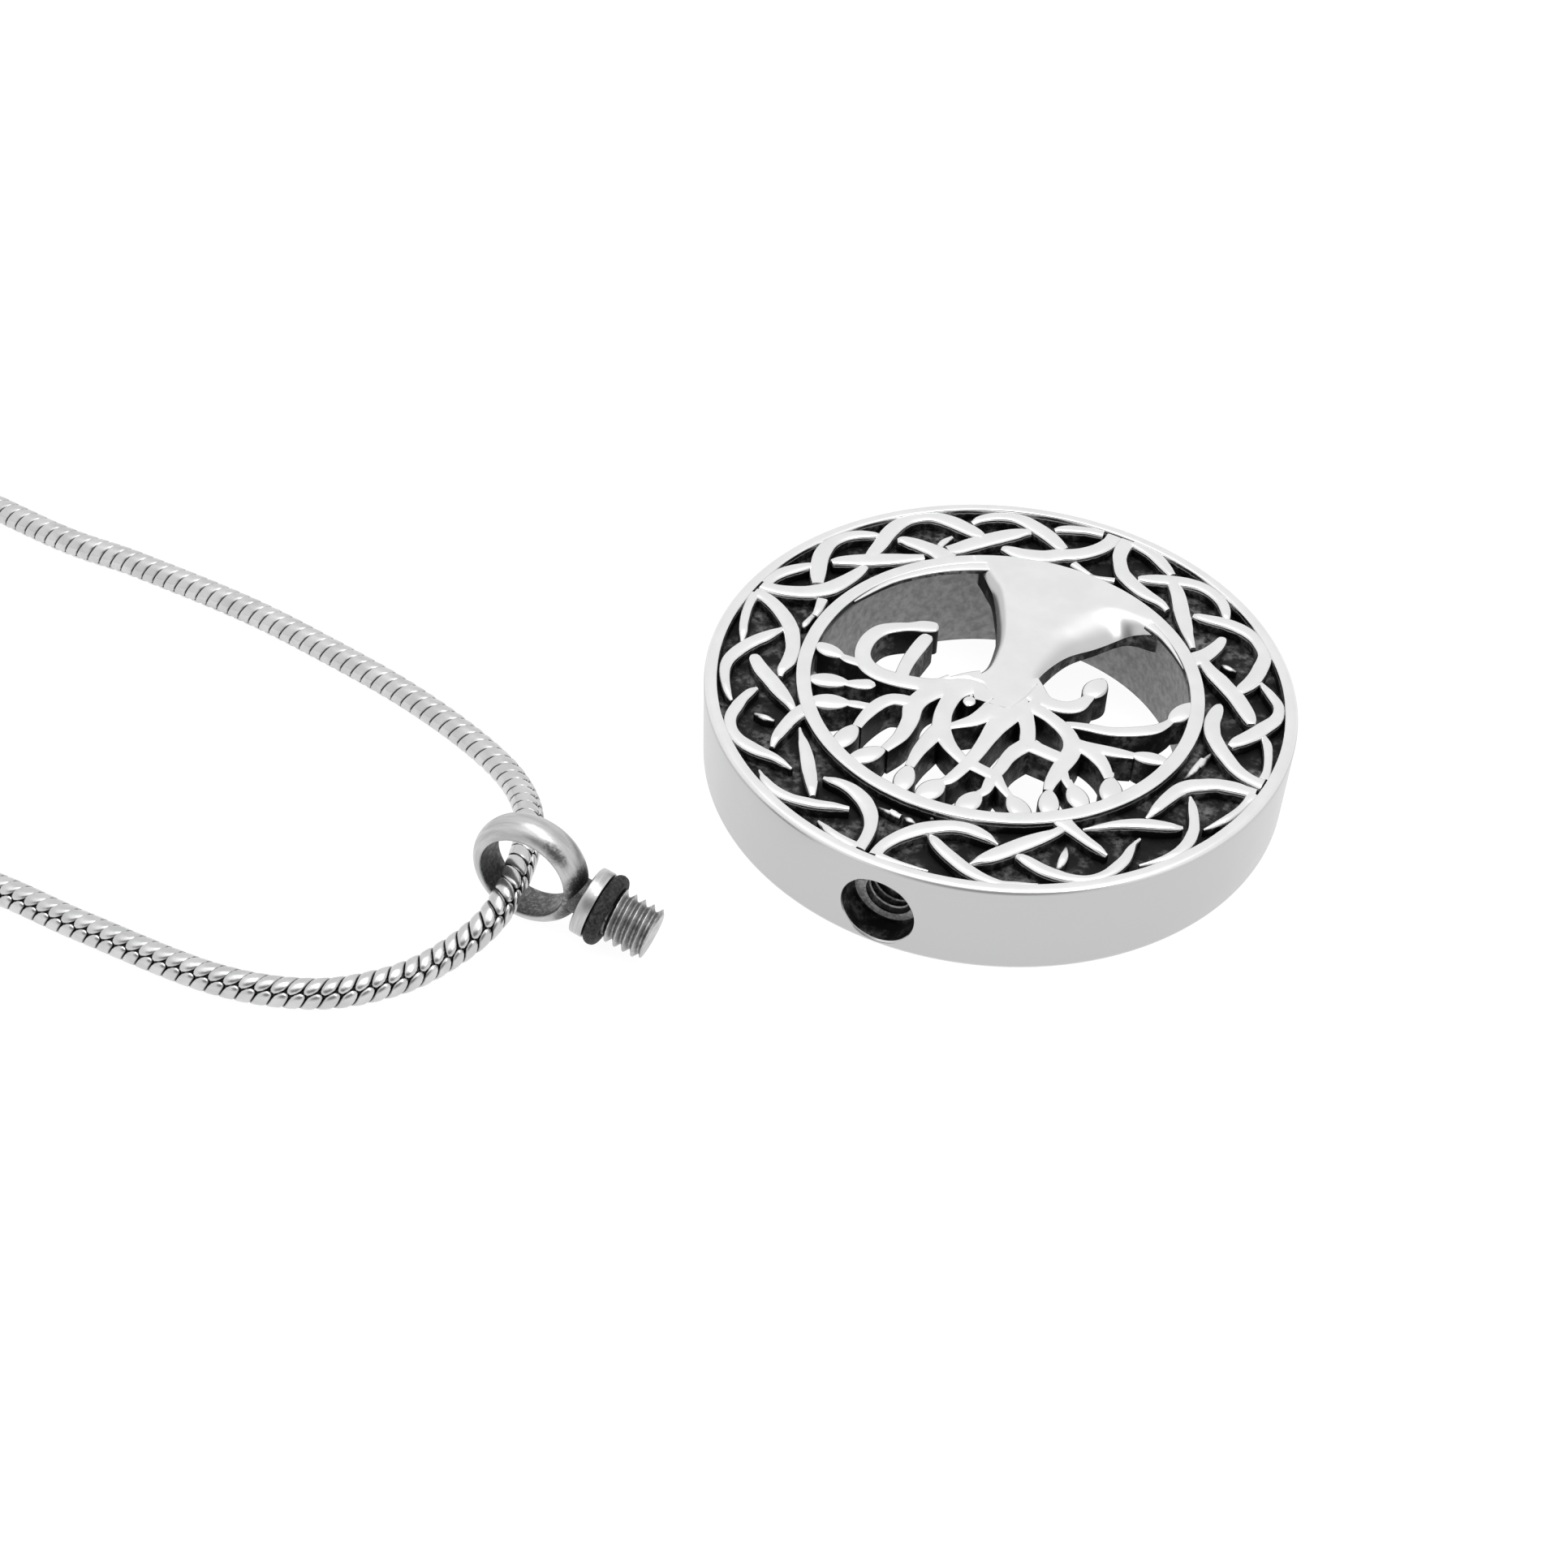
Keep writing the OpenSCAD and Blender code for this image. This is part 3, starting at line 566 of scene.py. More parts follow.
def bar(name, line, half, top, bottom, edge, crown, edge_steps=3):
    """A closed bar along a flat line, with upright sides, rounded upper edges and a slightly
    domed top. half, top and edge hold a number for each point of the line."""
    t = directions(line)
    normal = np.stack([-t[:, 1], t[:, 0]], axis=1)
    points = []
    for at, n, h, z, e in zip(line, normal, half, top, edge):
        e = min(e, 0.8 * h)
        across = [(-h, bottom)] + arc(-h + e, z - e, e, e, 180, 90, edge_steps)
        across += [(0, z)] + arc(h - e, z - e, e, e, 90, 0, edge_steps) + [(h, bottom)]
        for x, y in across:
            drop = crown * (x / h) ** 2 if y > bottom else 0
            points.append((at[0] + n[0] * x, at[1] + n[1] * x, y - drop))
    return mesh_piece(name, points, tube_faces(len(line), len(across)))


def applied(piece):
    """The mesh that a piece has with its modifiers, which are taken off."""
    bpy.context.view_layer.update()
    graph = bpy.context.evaluated_depsgraph_get()
    mesh = bpy.data.meshes.new_from_object(piece.evaluated_get(graph))
    piece.modifiers.clear()
    return mesh


def fused(name, pieces, operation="UNION"):
    """One closed mesh from the first piece and the others, which are used up."""
    base = pieces[0]
    for other in pieces[1:]:
        step = base.modifiers.new("join", "BOOLEAN")
        step.solver = "MANIFOLD"
        step.operation = operation
        step.object = other
    mesh = applied(base)
    made = placed(name, mesh)
    old = [p.data for p in pieces]
    for p in pieces:
        bpy.data.objects.remove(p)
    for m in old:
        bpy.data.meshes.remove(m)
    mesh.name = name
    return made


def smoothed(piece, degrees):
    """Smooth shading with edges sharper than an angle left crisp."""
    piece.data.polygons.foreach_set("use_smooth", [True] * len(piece.data.polygons))
    piece.data.set_sharp_from_angle(angle=math.radians(degrees))


def shaded(piece):
    """Smooth shading that keeps flat faces flat beside rounded edges."""
    smoothed(piece, 38)
    weigh = piece.modifiers.new("weigh", "WEIGHTED_NORMAL")
    weigh.keep_sharp = True
    weigh.weight = 60
    mesh = applied(piece)
    old = piece.data
    piece.data = mesh
    bpy.data.meshes.remove(old)
    return piece


def finished(piece, material, slot, *nodes):
    """Gives a piece its material, its body and the nodes that it stands for."""
    piece.data.materials.clear()
    piece.data.materials.append(material)
    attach(piece, "root")
    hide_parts(*nodes)


def thread_rings(crest_r, groove_r, length):
    """Rings of a true helical thread: each a place along its axis and the radii around it."""
    angles = np.linspace(0, 2 * math.pi, THREAD_AROUND, endpoint=False)
    places = np.linspace(0, length, THREAD_ALONG)
    turn = places[:, None] / PITCH - angles[None, :] / (2 * math.pi)
    from_groove = (np.abs((turn % 1) * 2 - 1) - GROOVE_SHARE) / FLANK_SHARE
    share = np.clip(from_groove, 0, 1) ** FLANK_POWER
    return list(zip(places, groove_r + (crest_r - groove_r) * share))


def ringed(name, rings, along_x=False):
    """A closed body about Z, or about X, from places along it with a radius or radii at each."""
    angles = np.linspace(0, 2 * math.pi, THREAD_AROUND, endpoint=False)
    points = [(r * math.cos(a), r * math.sin(a), z) for z, ring in rings
              for a, r in zip(angles, np.broadcast_to(ring, THREAD_AROUND))]
    if along_x:
        points = [(z, x, y) for x, y, z in points]
    return mesh_piece(name, points, tube_faces(len(rings), THREAD_AROUND))


def top_edge(r, radius, steps, outer):
    """A rounded upper edge of the locket at radius r, on its outer or its inner side."""
    centre = r - radius if outer else r + radius
    start = 0 if outer else 90
    return arc(centre, LOCKET_H - radius, radius, radius, start, start + 90, steps)


def locket_body():
    """The disc with its recess. The floor of the recess is uneven, as cast."""
    profile = [(OPENING_R + BACK_CHAMFER, 0), (BACK_SPLIT_R, 0)]
    profile += arc(LOCKET_R - BACK_EDGE_R, BACK_EDGE_R, BACK_EDGE_R, BACK_EDGE_R, -90, 0, 7)
    profile += [(LOCKET_R, z) for z in SIDE_HEIGHTS]
    profile += top_edge(LOCKET_R, RIM_EDGE_R, 7, True)
    profile += top_edge(RIM_R, RIM_INNER_EDGE, 3, False)
    profile += [(RIM_R - (RIM_R - BAND_R) * k / FLOOR_STEPS, FLOOR_Z)
                for k in range(FLOOR_STEPS + 1)]
    profile += top_edge(BAND_R, BAND_EDGE, 4, True)
    profile += top_edge(OPENING_R, BAND_EDGE, 4, False)
    profile += [(OPENING_R, z) for z in (*OPENING_HEIGHTS, BACK_CHAMFER)]
    body = revolved("body", profile, BODY_STEPS)
    for v in body.data.vertices:
        r = math.hypot(v.co.x, v.co.y) / MM
        if BAND_R + FLOOR_MARGIN < r < RIM_R - FLOOR_MARGIN and v.co.z > 0:
            rough = noise.noise(v.co * COARSE_GRAIN) + 0.5 * noise.noise(v.co * FINE_GRAIN)
            v.co.z += GRAIN_HEIGHT * MM * rough
    return body


def chamber():
    """The hollow ring for the ashes, without the boss around the seat of the screw."""
    inner, outer, low, high = OPENING_R + WALL, LOCKET_R - WALL, WALL, FLOOR_Z - WALL
    ring = revolved("ring", [(inner, low), (outer, low), (outer, high), (inner, high)], 96)
    column = [(HAIR, 0), (BOSS_R, 0), (BOSS_R, BOSS_LEN), (HAIR, BOSS_LEN)]
    boss = revolved("boss", column, 64, closed=False)
    boss.data.transform(hole_place())
    return fused("chamber", [ring, boss], "DIFFERENCE")


def hole_place():
    """Puts what is drawn up from the floor along the hole's axis, from inside outwards."""
    at = Vector((0, SEAT_Y - TAPPED_LEN, HOLE_Z)) * MM
    return Matrix.Translation(at) @ Matrix.Rotation(math.radians(-90), 4, "X")


def hole_cutter():
    """What is cut away for the hole: a helical thread, then the wide seat and its mouth."""
    mouth = TAPPED_LEN + LOCKET_R - SEAT_Y
    widens = mouth - MOUTH_DEPTH
    wide = SEAT_R + MOUTH_CHAMFER
    rings = [(-1.0, TAPPED_R)] + thread_rings(TAPPED_R, THREAD_R + THREAD_PLAY, TAPPED_LEN)
    rings += [(TAPPED_LEN + HAIR, SEAT_R), (widens, SEAT_R),
              (widens + MOUTH_CHAMFER * 0.5, SEAT_R + MOUTH_CHAMFER * 0.25),
              (widens + MOUTH_CHAMFER, wide), (mouth + 0.6, wide)]
    cutter = ringed("hole", rings)
    cutter.data.transform(hole_place())
    return cutter


def strand(name, table, full_top, weight):
    """A strand of the border, which sinks where it narrows."""
    p = curve(np.array(table) / KNOT_UNITS)
    r = BAND_R + p[:, 1] * (RIM_R - BAND_R)
    a = np.radians(p[:, 0])
    line = np.stack([r * np.sin(a), r * np.cos(a)], axis=1)
    width = np.maximum(p[:, 2], STRAND_LEAST_W) * weight
    top = full_top - STRAND_DIVE * np.clip(1 - width / DIVE_W, 0, 1)
    edge = np.full(len(p), STRAND_EDGE)
    return bar(name, line, width / 2, top, FLOOR_Z - STRAND_ROOT, edge, STRAND_CROWN)


def border():
    """The knotwork: four quarters of over and under strands."""
    quarters = (FIRST_QUARTER, SECOND_QUARTER, THIRD_QUARTER, FOURTH_QUARTER)
    made = []
    for q, (tables, scraps) in enumerate(zip(quarters, LOW_SCRAPS)):
        weight = QUARTER_WEIGHTS[q]
        pieces = [strand(f"strand_{q}_{i}", t, STRAND_TOP, weight) for i, t in enumerate(tables)]
        pieces += [strand(f"scrap_{q}_{i}", t, LOW_TOP, weight) for i, t in enumerate(scraps)]
        turn = Matrix.Rotation(math.radians(KNOT_TURN - 90 * q), 4, "Z")
        for piece in pieces:
            piece.data.transform(turn)
        made.append(fused(f"quarter_{q}", pieces))
    return made


def branch(name, table, bottom=TREE_BOTTOM):
    """A branch of the tree as a bar with rounded edges. Thin twigs lie a little lower."""
    p = curve(table) * OPENING_R / 1000
    width = p[:, 2]
    top = TREE_TOP - TWIG_DROP * np.clip(1 - width / TWIG_W, 0, 1)
    edge = np.clip(width * EDGE_SHARE, LEAST_EDGE, BRANCH_EDGE)
    return bar(name, p[:, :2], width * BRANCH_HALF, top, bottom, edge, BRANCH_CROWN)


def leaf(name, row):
    """A leaf, a domed lens on a stalk."""
    sx, sy, tx, ty, width = (c * OPENING_R / 1000 for c in row)
    share = np.linspace(*LEAF_SPAN, LEAF_POINTS)
    line = np.stack([sx + (tx - sx) * share, sy + (ty - sy) * share], axis=1)
    full = np.sin(np.pi * np.clip(share, 0, 1)) ** LEAF_POWER
    full = np.where(share < STALK_SHARE, np.maximum(full, STALK_FULLNESS), full)
    half = width * LEAF_HALF * full + LEAF_TIP_HALF
    top = TREE_TOP + LEAF_RISE - LEAF_FALL * (1 - full)
    return bar(name, line, half, top, TREE_BOTTOM, LEAF_EDGE * half, LEAF_CROWN, edge_steps=4)


def crease(name, table):
    """What is cut away for a shallow crease between the trunk and a branch."""
    p = curve(table) * OPENING_R / 1000
    points = []
    for (x, y, half), (tx, ty) in zip(p, directions(p[:, :2])):
        points.append((x, y, TREE_TOP - CREASE_SLOPE * half))
        for side in (-CREASE_REACH * half, CREASE_REACH * half):
            rise = CREASE_SLOPE * (CREASE_REACH - 1) * half
            points.append((x - ty * side, y + tx * side, TREE_TOP + rise))
    return mesh_piece(name, points, tube_faces(len(p), 3))


def trunk():
    """The trunk, polished flat between a wide slope on one flank and a narrow one on the other.
    Its foot bulges out to the band."""
    rows, columns = TRUNK_ROWS, TRUNK_COLUMNS
    unit = OPENING_R / 1000
    left = resampled(curve(LEFT_FLANK), rows) * unit
    right = resampled(curve(RIGHT_FLANK), rows) * unit
    for flank in (left, right):
        flank[:, :2] -= flank[:, 3:] * np.array(TOWARDS_CAMERA)
    shares = 0.5 - 0.5 * np.cos(np.linspace(0, np.pi, columns))
    first, last = (math.radians(a) for a in FOOT_ANGLES)
    foot = first + (last - first) * shares
    rim = OPENING_R * FOOT_SHARE * np.stack([np.cos(foot), np.sin(foot)], axis=1)
    chord = left[0, :2] + (right[0, :2] - left[0, :2]) * shares[:, None]
    points = []
    for i, (a, b) in enumerate(zip(left, right)):
        width = np.linalg.norm(b[:2] - a[:2])
        near_foot = max(0, 1 - FOOT_FADE * i / rows) ** 2
        bulge = (rim - chord) * near_foot
        rise = float(smooth_share(near_foot * FOOT_RISE))
        level = TREE_TOP + (LOCKET_H + FOOT_PROUD - TREE_TOP) * rise
        for k, share in enumerate(shares):
            x, y = a[:2] + (b[:2] - a[:2]) * share + bulge[k]
            z = level - a[3] * max(0, 1 - share * width / a[2]) ** 2
            z -= b[3] * max(0, 1 - (1 - share) * width / b[2]) ** 2
            points.append((x, y, z))
    top_count = len(points)
    edge = list(range(columns)) + [i * columns + columns - 1 for i in range(1, rows)]
    edge += [(rows - 1) * columns + k for k in range(columns - 2, -1, -1)]
    edge += [i * columns for i in range(rows - 2, 0, -1)]
    points += [(points[k][0], points[k][1], TRUNK_BOTTOM) for k in edge]
    n = len(edge)
    faces = grid_faces(rows, columns)
    faces += [(edge[k], edge[(k + 1) % n], top_count + (k + 1) % n, top_count + k)
              for k in range(n)]
    faces.append([top_count + k for k in range(n)])
    return mesh_piece("trunk", points, faces)


def locket():
    """The whole casting as one closed mesh."""
    tree = [trunk()]
    tree += [branch(f"branch_{i}", t) for i, t in enumerate(BRANCHES)]
    tree += [leaf(f"leaf_{i}", row) for i, row in enumerate(LEAVES)]
    tree += [branch(f"lip_{i}", t, LIP_BOTTOM) for i, t in enumerate(LIPS)]
    raised = fused("raised", [locket_body(), fused("tree", tree)] + border())
    cuts = [crease(f"crease_{i}", t) for i, t in enumerate(CREASES)]
    whole = fused("locket_casting", [raised, chamber(), hole_cutter()] + cuts, "DIFFERENCE")
    return shaded(whole)


def bail_place():
    """Puts a piece that is drawn along +X from the middle of the bail ring where it lies."""
    roll, pitch, heading = (math.radians(a) for a in BAIL_TURNS)
    turn = (Matrix.Rotation(heading, 4, "Z") @ Matrix.Rotation(pitch, 4, "Y")
            @ Matrix.Rotation(roll, 4, "X"))
    return Matrix.Translation(Vector(BAIL_AT) * MM) @ turn


def bail_ring():
    """The ring, domed outside and flat inside the eye, with softened edges."""
    profile = arc(EYE_R, 0, BAIL_R - EYE_R, BAIL_HALF_W, -DOME_ANGLE, DOME_ANGLE, 26)
    edge = [(EYE_R + step, z) for step, z in EYE_EDGE]
    profile += edge + [(EYE_R, 0)] + [(r, -z) for r, z in reversed(edge)]
    ring = revolved("bail_ring", profile, 144)
    ring.data.transform(Matrix.Rotation(math.radians(90), 4, "X"))
    return ring


def screw_body():
    """Neck, collar, shank and a helical thread with a chamfered tip, about the X axis."""
    collar_end = COLLAR_X + COLLAR_T
    rings = [(EYE_R + 0.15, NECK_R), (COLLAR_X, NECK_R)]
    rings += [(COLLAR_X + x, COLLAR_R - r) for x, r in COLLAR_NEAR_EDGE]
    rings += [(collar_end - x, COLLAR_R - r) for x, r in COLLAR_FAR_EDGE]
    rings += [(collar_end + HAIR, SHANK_R), (THREAD_X - THREAD_GAP, SHANK_R)]
    length = TIP_X - THREAD_X
    for x, ring in thread_rings(THREAD_R, THREAD_R - THREAD_DEPTH, length):
        chamfer = THREAD_R - TIP_CHAMFER + (length - x)
        start = SHANK_R + THREAD_START + x * THREAD_GROWTH
        rings.append((THREAD_X + x, np.minimum(ring, min(chamfer, start))))
    rings.append((TIP_X + HAIR / 2, THREAD_R - TIP_CHAMFER - TIP_FACE))
    return ringed("screw", rings, along_x=True)


def painted(piece, name, values):
    """Keeps a number for each point of a mesh, for its material."""
    layer = piece.data.attributes.new(name, "FLOAT", "POINT")
    layer.data.foreach_set("value", [float(v) for v in values])


def bail_turn(co):
    """Length around the ring, or around the screw, at a point of the bail screw's own frame."""
    if co.x < EYE_R + 0.5:
        return math.atan2(co.z, -co.x) * BAIL_R
    return math.atan2(co.z, -co.y) * COLLAR_R


def bail_side(co):
    """Place across the ring, or along the screw, at a point of the bail screw's own frame."""
    return co.y if co.x < EYE_R + 0.5 else co.x + 20


def bail_dark(co):
    """How dark the bail screw is at a point of its own frame: in the eye, and by painted shade
    around the neck.
    """
    radial = math.hypot(co.x, co.z)
    if co.x < EYE_R + 0.65 and radial < EYE_R + 0.03 and abs(co.y) < BAIL_HALF_W:
        return EYE_DARK
    around_axis = math.hypot(co.y, co.z)
    # Painted shade around the neck, between the ring and the collar
    near_neck = float(smooth_share(1 - (COLLAR_X - NECK_SHADE_START - co.x) / NECK_SHADE_LENGTH))
    near_axis = float(smooth_share(NECK_SHADE_LIMIT - around_axis / NECK_SHADE_FADE))
    if co.x < COLLAR_X + 0.02:
        # Painted dark reflection on the outer face of the ring
        at, side, long, wide = REFLECTION_PATCH
        off = ((bail_turn(co) - at) / long) ** 2 + ((co.y - side) / wide) ** 2
        painted_reflection = REFLECTION_DARK * max(0, 1 - off) if co.x < EYE_R else 0
        return max(near_neck * near_axis, painted_reflection)
    if co.x > TIP_X - 0.01:
        return TIP_DARK
    if co.x > THREAD_X - 0.1:
        # Painted shade deepening from the thread's crests into its grooves
        depth = (THREAD_R - around_axis) / THREAD_DEPTH
        return CREST_DARK + GROOVE_SHADE * float(smooth_share(depth))
    return 0


def bail_screw():
    """Ring and screw, soldered into one body."""
    whole = shaded(fused("bail_screw_body", [bail_ring(), screw_body()]))
    for name, value_of in (("dark", bail_dark), ("turn", bail_turn), ("side", bail_side)):
        painted(whole, name, [value_of(v.co / MM) for v in whole.data.vertices])
    whole.data.transform(bail_place())
    return whole


def seal():
    """The rubber ring, a little flattened between collar and thread, with its moulding line."""
    half = SEAL_T / 2
    profile = []
    for k in range(SEAL_STEPS):
        a = 2 * math.pi * k / SEAL_STEPS
        c, s = math.cos(a), math.sin(a)
        x = math.copysign(abs(c) ** SEAL_POWER, c) * half
        z = math.copysign(abs(s) ** SEAL_POWER, s) * half
        line = MOULD_LINE if abs(s) < 0.1 and c > 0 else 0
        profile.append((SEAL_R + half + x * SEAL_SQUEEZE + line, z))
    ring = revolved("seal_o_ring", profile, 128)
    place = Matrix.Translation(Vector((SEAL_X + half, 0, 0)) * MM)
    ring.data.transform(bail_place() @ place @ Matrix.Rotation(math.radians(90), 4, "Y"))
    return shaded(ring)


class Path:
    """The chain's middle line, with its inner side and its upper side at each length."""

    def __init__(self):
        steps = 24
        route = np.array(CHAIN_ROUTE, float)
        made = curve(route, steps)
        made[:, 2] = np.maximum(made[:, 2], LIE)
        reach = CLASP_LEN / 2 - SOCKET_DEPTH + 0.03
        ends = [np.array(CLASP_AT) + (0, -reach, 0), np.array(CLASP_AT) + (0, reach, 0)]
        self.p = np.vstack([ends[0], made, ends[1]])
        d = np.linalg.norm(np.diff(self.p, axis=0), axis=1)
        self.run = np.concatenate([[0], np.cumsum(d)])
        self.length = self.run[-1]
        t = directions(self.p)
        self.inner = np.stack([t[:, 1], -t[:, 0], np.zeros(len(t))], axis=1)
        self.inner /= np.linalg.norm(self.inner, axis=1)[:, None]
        self.upper = np.cross(self.inner, t)

    def at(self, s, angle, radius):
        """Points at lengths s, at angles from the inner side towards the upper one."""
        out = []
        for source in (self.p, self.inner, self.upper):
            out.append(np.stack([np.interp(s, self.run, source[:, k]) for k in range(3)], axis=-1))
        middle, inner, upper = out
        return (middle + (radius * np.cos(angle))[..., None] * inner
                + (radius * np.sin(angle))[..., None] * upper)


def chain_piece(name, path, first, last, core_from, core_to):
    """Bent plates of a snake chain: two rows of half rings whose ends meet in a zigzag seam."""
    across = np.abs(PLATE_ACROSS)[None, :]
    arc_len = math.pi * CHAIN_R * BAND_SHARE
    a = -0.5 * arc_len * np.cos(np.linspace(0, math.pi, BAND_STEPS + 1))
    near_end = (np.abs(a) / (arc_len / 2))[:, None]
    ends = np.clip((np.abs(a) - (arc_len / 2 - BAND_ROUNDS)) / BAND_ROUNDS, 0, 0.995)
    width = LINK / 2 * np.sqrt(1 - ends**2)
    slope = BAND_LEAN * LINK / (math.pi * CHAIN_R)
    edge_drop = BAND_DROP_MIDDLE + (BAND_DROP - BAND_DROP_MIDDLE) * near_end**2
    groove = edge_drop * across ** (EDGE_POWER - EDGE_POWER_LOSS * near_end)
    end_fall = BAND_END_DROP * ends[:, None] ** 3
    slit_shade = across**4 * (0.8 + 0.2 * near_end)
    seam = ends[:, None] ** 8
    points, faces, depth = [], [], []
    lifts = np.array(SEAM_LIFT, float)
    rows, columns = len(a), len(PLATE_ACROSS)
    plate = grid_faces(rows, columns)
    plate += [(r * columns, (r + 1) * columns, (r + 2) * columns - 1, (r + 1) * columns - 1)
              for r in range(rows - 1)]
    plate += [range(columns), range((rows - 1) * columns, rows * columns)]
    for i in range(first, last):
        middle = (i + 0.5) * LINK
        lift = math.radians(np.interp(middle, lifts[:, 0], lifts[:, 1]))
        on_top = np.interp(middle, *zip(*TOP_OPEN))
        for side in (1, -1):
            s = middle - side * slope * a[:, None] + width[:, None] * PLATE_ACROSS[None, :]
            s = np.clip(s, 0.02, path.length - 0.02)
            angle = math.pi / 2 - lift - side * a / CHAIN_R + (0 if side == 1 else math.pi)
            start = len(points)
            rise, inwards = np.sin(angle)[:, None], np.cos(angle)[:, None]
            open_part = 1 - (1 - on_top) * smooth_share((rise - 0.88) / 0.1)
            open_part = open_part * (1 - smooth_share((-rise - 0.02) / 0.25) * (inwards > 0))
            open_edge = CLOSED_FALL + (1 - CLOSED_FALL) * np.maximum(open_part, near_end**4)
            fall = groove * open_edge + end_fall
            fall = fall + on_top * OPEN_FALL * across**3 * (1 - near_end)
            # Painted shade in the slits and along the seam, lighter where slits close, mostly on
            # the lit upper side
            dark = np.maximum(slit_shade * np.maximum(open_part, CLOSED_SHADE), seam)
            skin = path.at(s, np.broadcast_to(angle[:, None], s.shape), CHAIN_R - fall)
            points += [tuple(p) for p in skin.reshape(-1, 3)]
            depth += list(dark.reshape(-1))
            faces += [tuple(start + k for k in f) for f in plate]
    start = len(points)
    steps = int((core_to - core_from) / CORE_STEP)
    s = np.linspace(core_from, core_to, steps)
    angles = np.linspace(0, 2 * math.pi, CORE_SIDES, endpoint=False)
    grid = np.broadcast_to(s[:, None], (steps, CORE_SIDES))
    core = path.at(grid, np.broadcast_to(angles[None, :], grid.shape),
                   np.full(grid.shape, CHAIN_R - BAND_DROP - 0.01))
    points += [tuple(p) for p in core.reshape(-1, 3)]
    depth += [CORE_SHADE] * core[..., 0].size
    faces += [tuple(start + k for k in f) for f in tube_faces(steps, CORE_SIDES)]
    piece = mesh_piece(name, points, faces)
    painted(piece, "dark", depth)
    smoothed(piece, 70)
    return piece


def clasp():
    """A plain barrel with rounded shoulders and a fine groove near each end."""
    half, small = CLASP_LEN / 2, CLASP_R * CLASP_END_SHARE
    side = [(SOCKET_R, half - SOCKET_DEPTH), (SOCKET_R, half - 0.05), (SOCKET_R + 0.06, half),
            (small - 0.1, half), (small - 0.02, half - 0.03), (small + 0.02, half - 0.1)]
    for k in range(1, 9):
        turn = k / 8 * math.pi / 2
        side.append((small + (CLASP_R - small) * math.sin(turn),
                     half - SHOULDER_EDGE - SHOULDER_LEN * (1 - math.cos(turn))))
    side += [(CLASP_R - depth, z) for depth, z in CLASP_GROOVE] + [(CLASP_R, 1.2)]
    profile = side + [(CLASP_R, 0)] + [(r, -z) for r, z in reversed(side)]
    barrel = revolved("clasp_barrel", profile, 96, closed=False)
    turn = Matrix.Rotation(math.radians(90), 4, "X")
    barrel.data.transform(Matrix.Translation(Vector(CLASP_AT) * MM) @ turn)
    return shaded(barrel)


def grey(level, blue=0.0):
    """A grey, with a touch more blue where that is given."""
    return (level, level, level + blue, 1)


class Nodes:
    """Short way to build the nodes of a material or of the sky."""

    def __init__(self, owner, shader="Principled BSDF", space="Object"):
        owner.use_nodes = True
        self.material = owner
        self.tree = owner.node_tree
        self.shader = self.tree.nodes[shader]
        self.space = space

    @property
    def place(self):
        """The coordinates that everything is laid out by."""
        if not hasattr(self, "coordinates"):
            self.coordinates = self.add("ShaderNodeTexCoord").outputs[self.space]
        return self.coordinates

    def add(self, kind, **values):
        node = self.tree.nodes.new(kind)
        for key, value in values.items():
            setattr(node, key, value)
        return node

    def put(self, socket, value):
        if isinstance(value, bpy.types.NodeSocket):
            self.tree.links.new(value, socket)
        else:
            socket.default_value = value

    def filled(self, node, **values):
        """Gives a node's inputs their values, by their names with _ for a space."""
        for name, value in values.items():
            self.put(node.inputs[name.replace("_", " ")], value)
        return node

    def shade(self, name, value):
        """Gives an input of the shader itself its value."""
        self.put(self.shader.inputs[name], value)

    def math(self, operation, first, *others):
        """An operation on the first value and the next, then on what it gives and the next."""
        for other in others:
            node = self.add("ShaderNodeMath", operation=operation)
            self.put(node.inputs[0], first)
            self.put(node.inputs[1], other)
            first = node.outputs[0]
        return first

    def times(self, *values):
        return self.math("MULTIPLY", *values)

    def plus(self, *values):
        return self.math("ADD", *values)

    def minus(self, *values):
        return self.math("SUBTRACT", *values)

    def length(self, a, b):
        return self.math("SQRT", self.plus(self.times(a, a), self.times(b, b)), 0.0)

    def ramp(self, value, low=0.3, high=0.7, to_low=0.0, to_high=1.0):
        """A soft step between two values, by default across the middle of a noise."""
        node = self.add("ShaderNodeMapRange", interpolation_type="SMOOTHSTEP")
        self.filled(node, Value=value, From_Min=low, From_Max=high, To_Min=to_low, To_Max=to_high)
        return node.outputs["Result"]

    def mix(self, share, a, b):
        node = self.filled(self.add("ShaderNodeMix", data_type="RGBA"), Factor=share)
        self.put(node.inputs[6], a)
        self.put(node.inputs[7], b)
        return node.outputs[2]

    def noise(self, scale, detail, roughness, vector=None):
        node = self.filled(self.add("ShaderNodeTexNoise"), Scale=scale, Detail=detail,
                           Roughness=roughness, Vector=vector or self.place)
        return node.outputs["Fac"]

    def split(self, vector):
        node = self.filled(self.add("ShaderNodeSeparateXYZ"), Vector=vector)
        return [node.outputs[k] for k in range(3)]

    def attribute(self, name):
        return self.add("ShaderNodeAttribute", attribute_name=name).outputs["Fac"]

    def bump(self, height, strength, distance):
        node = self.filled(self.add("ShaderNodeBump"), Strength=strength, Distance=distance,
                           Height=height)
        self.shade("Normal", node.outputs["Normal"])


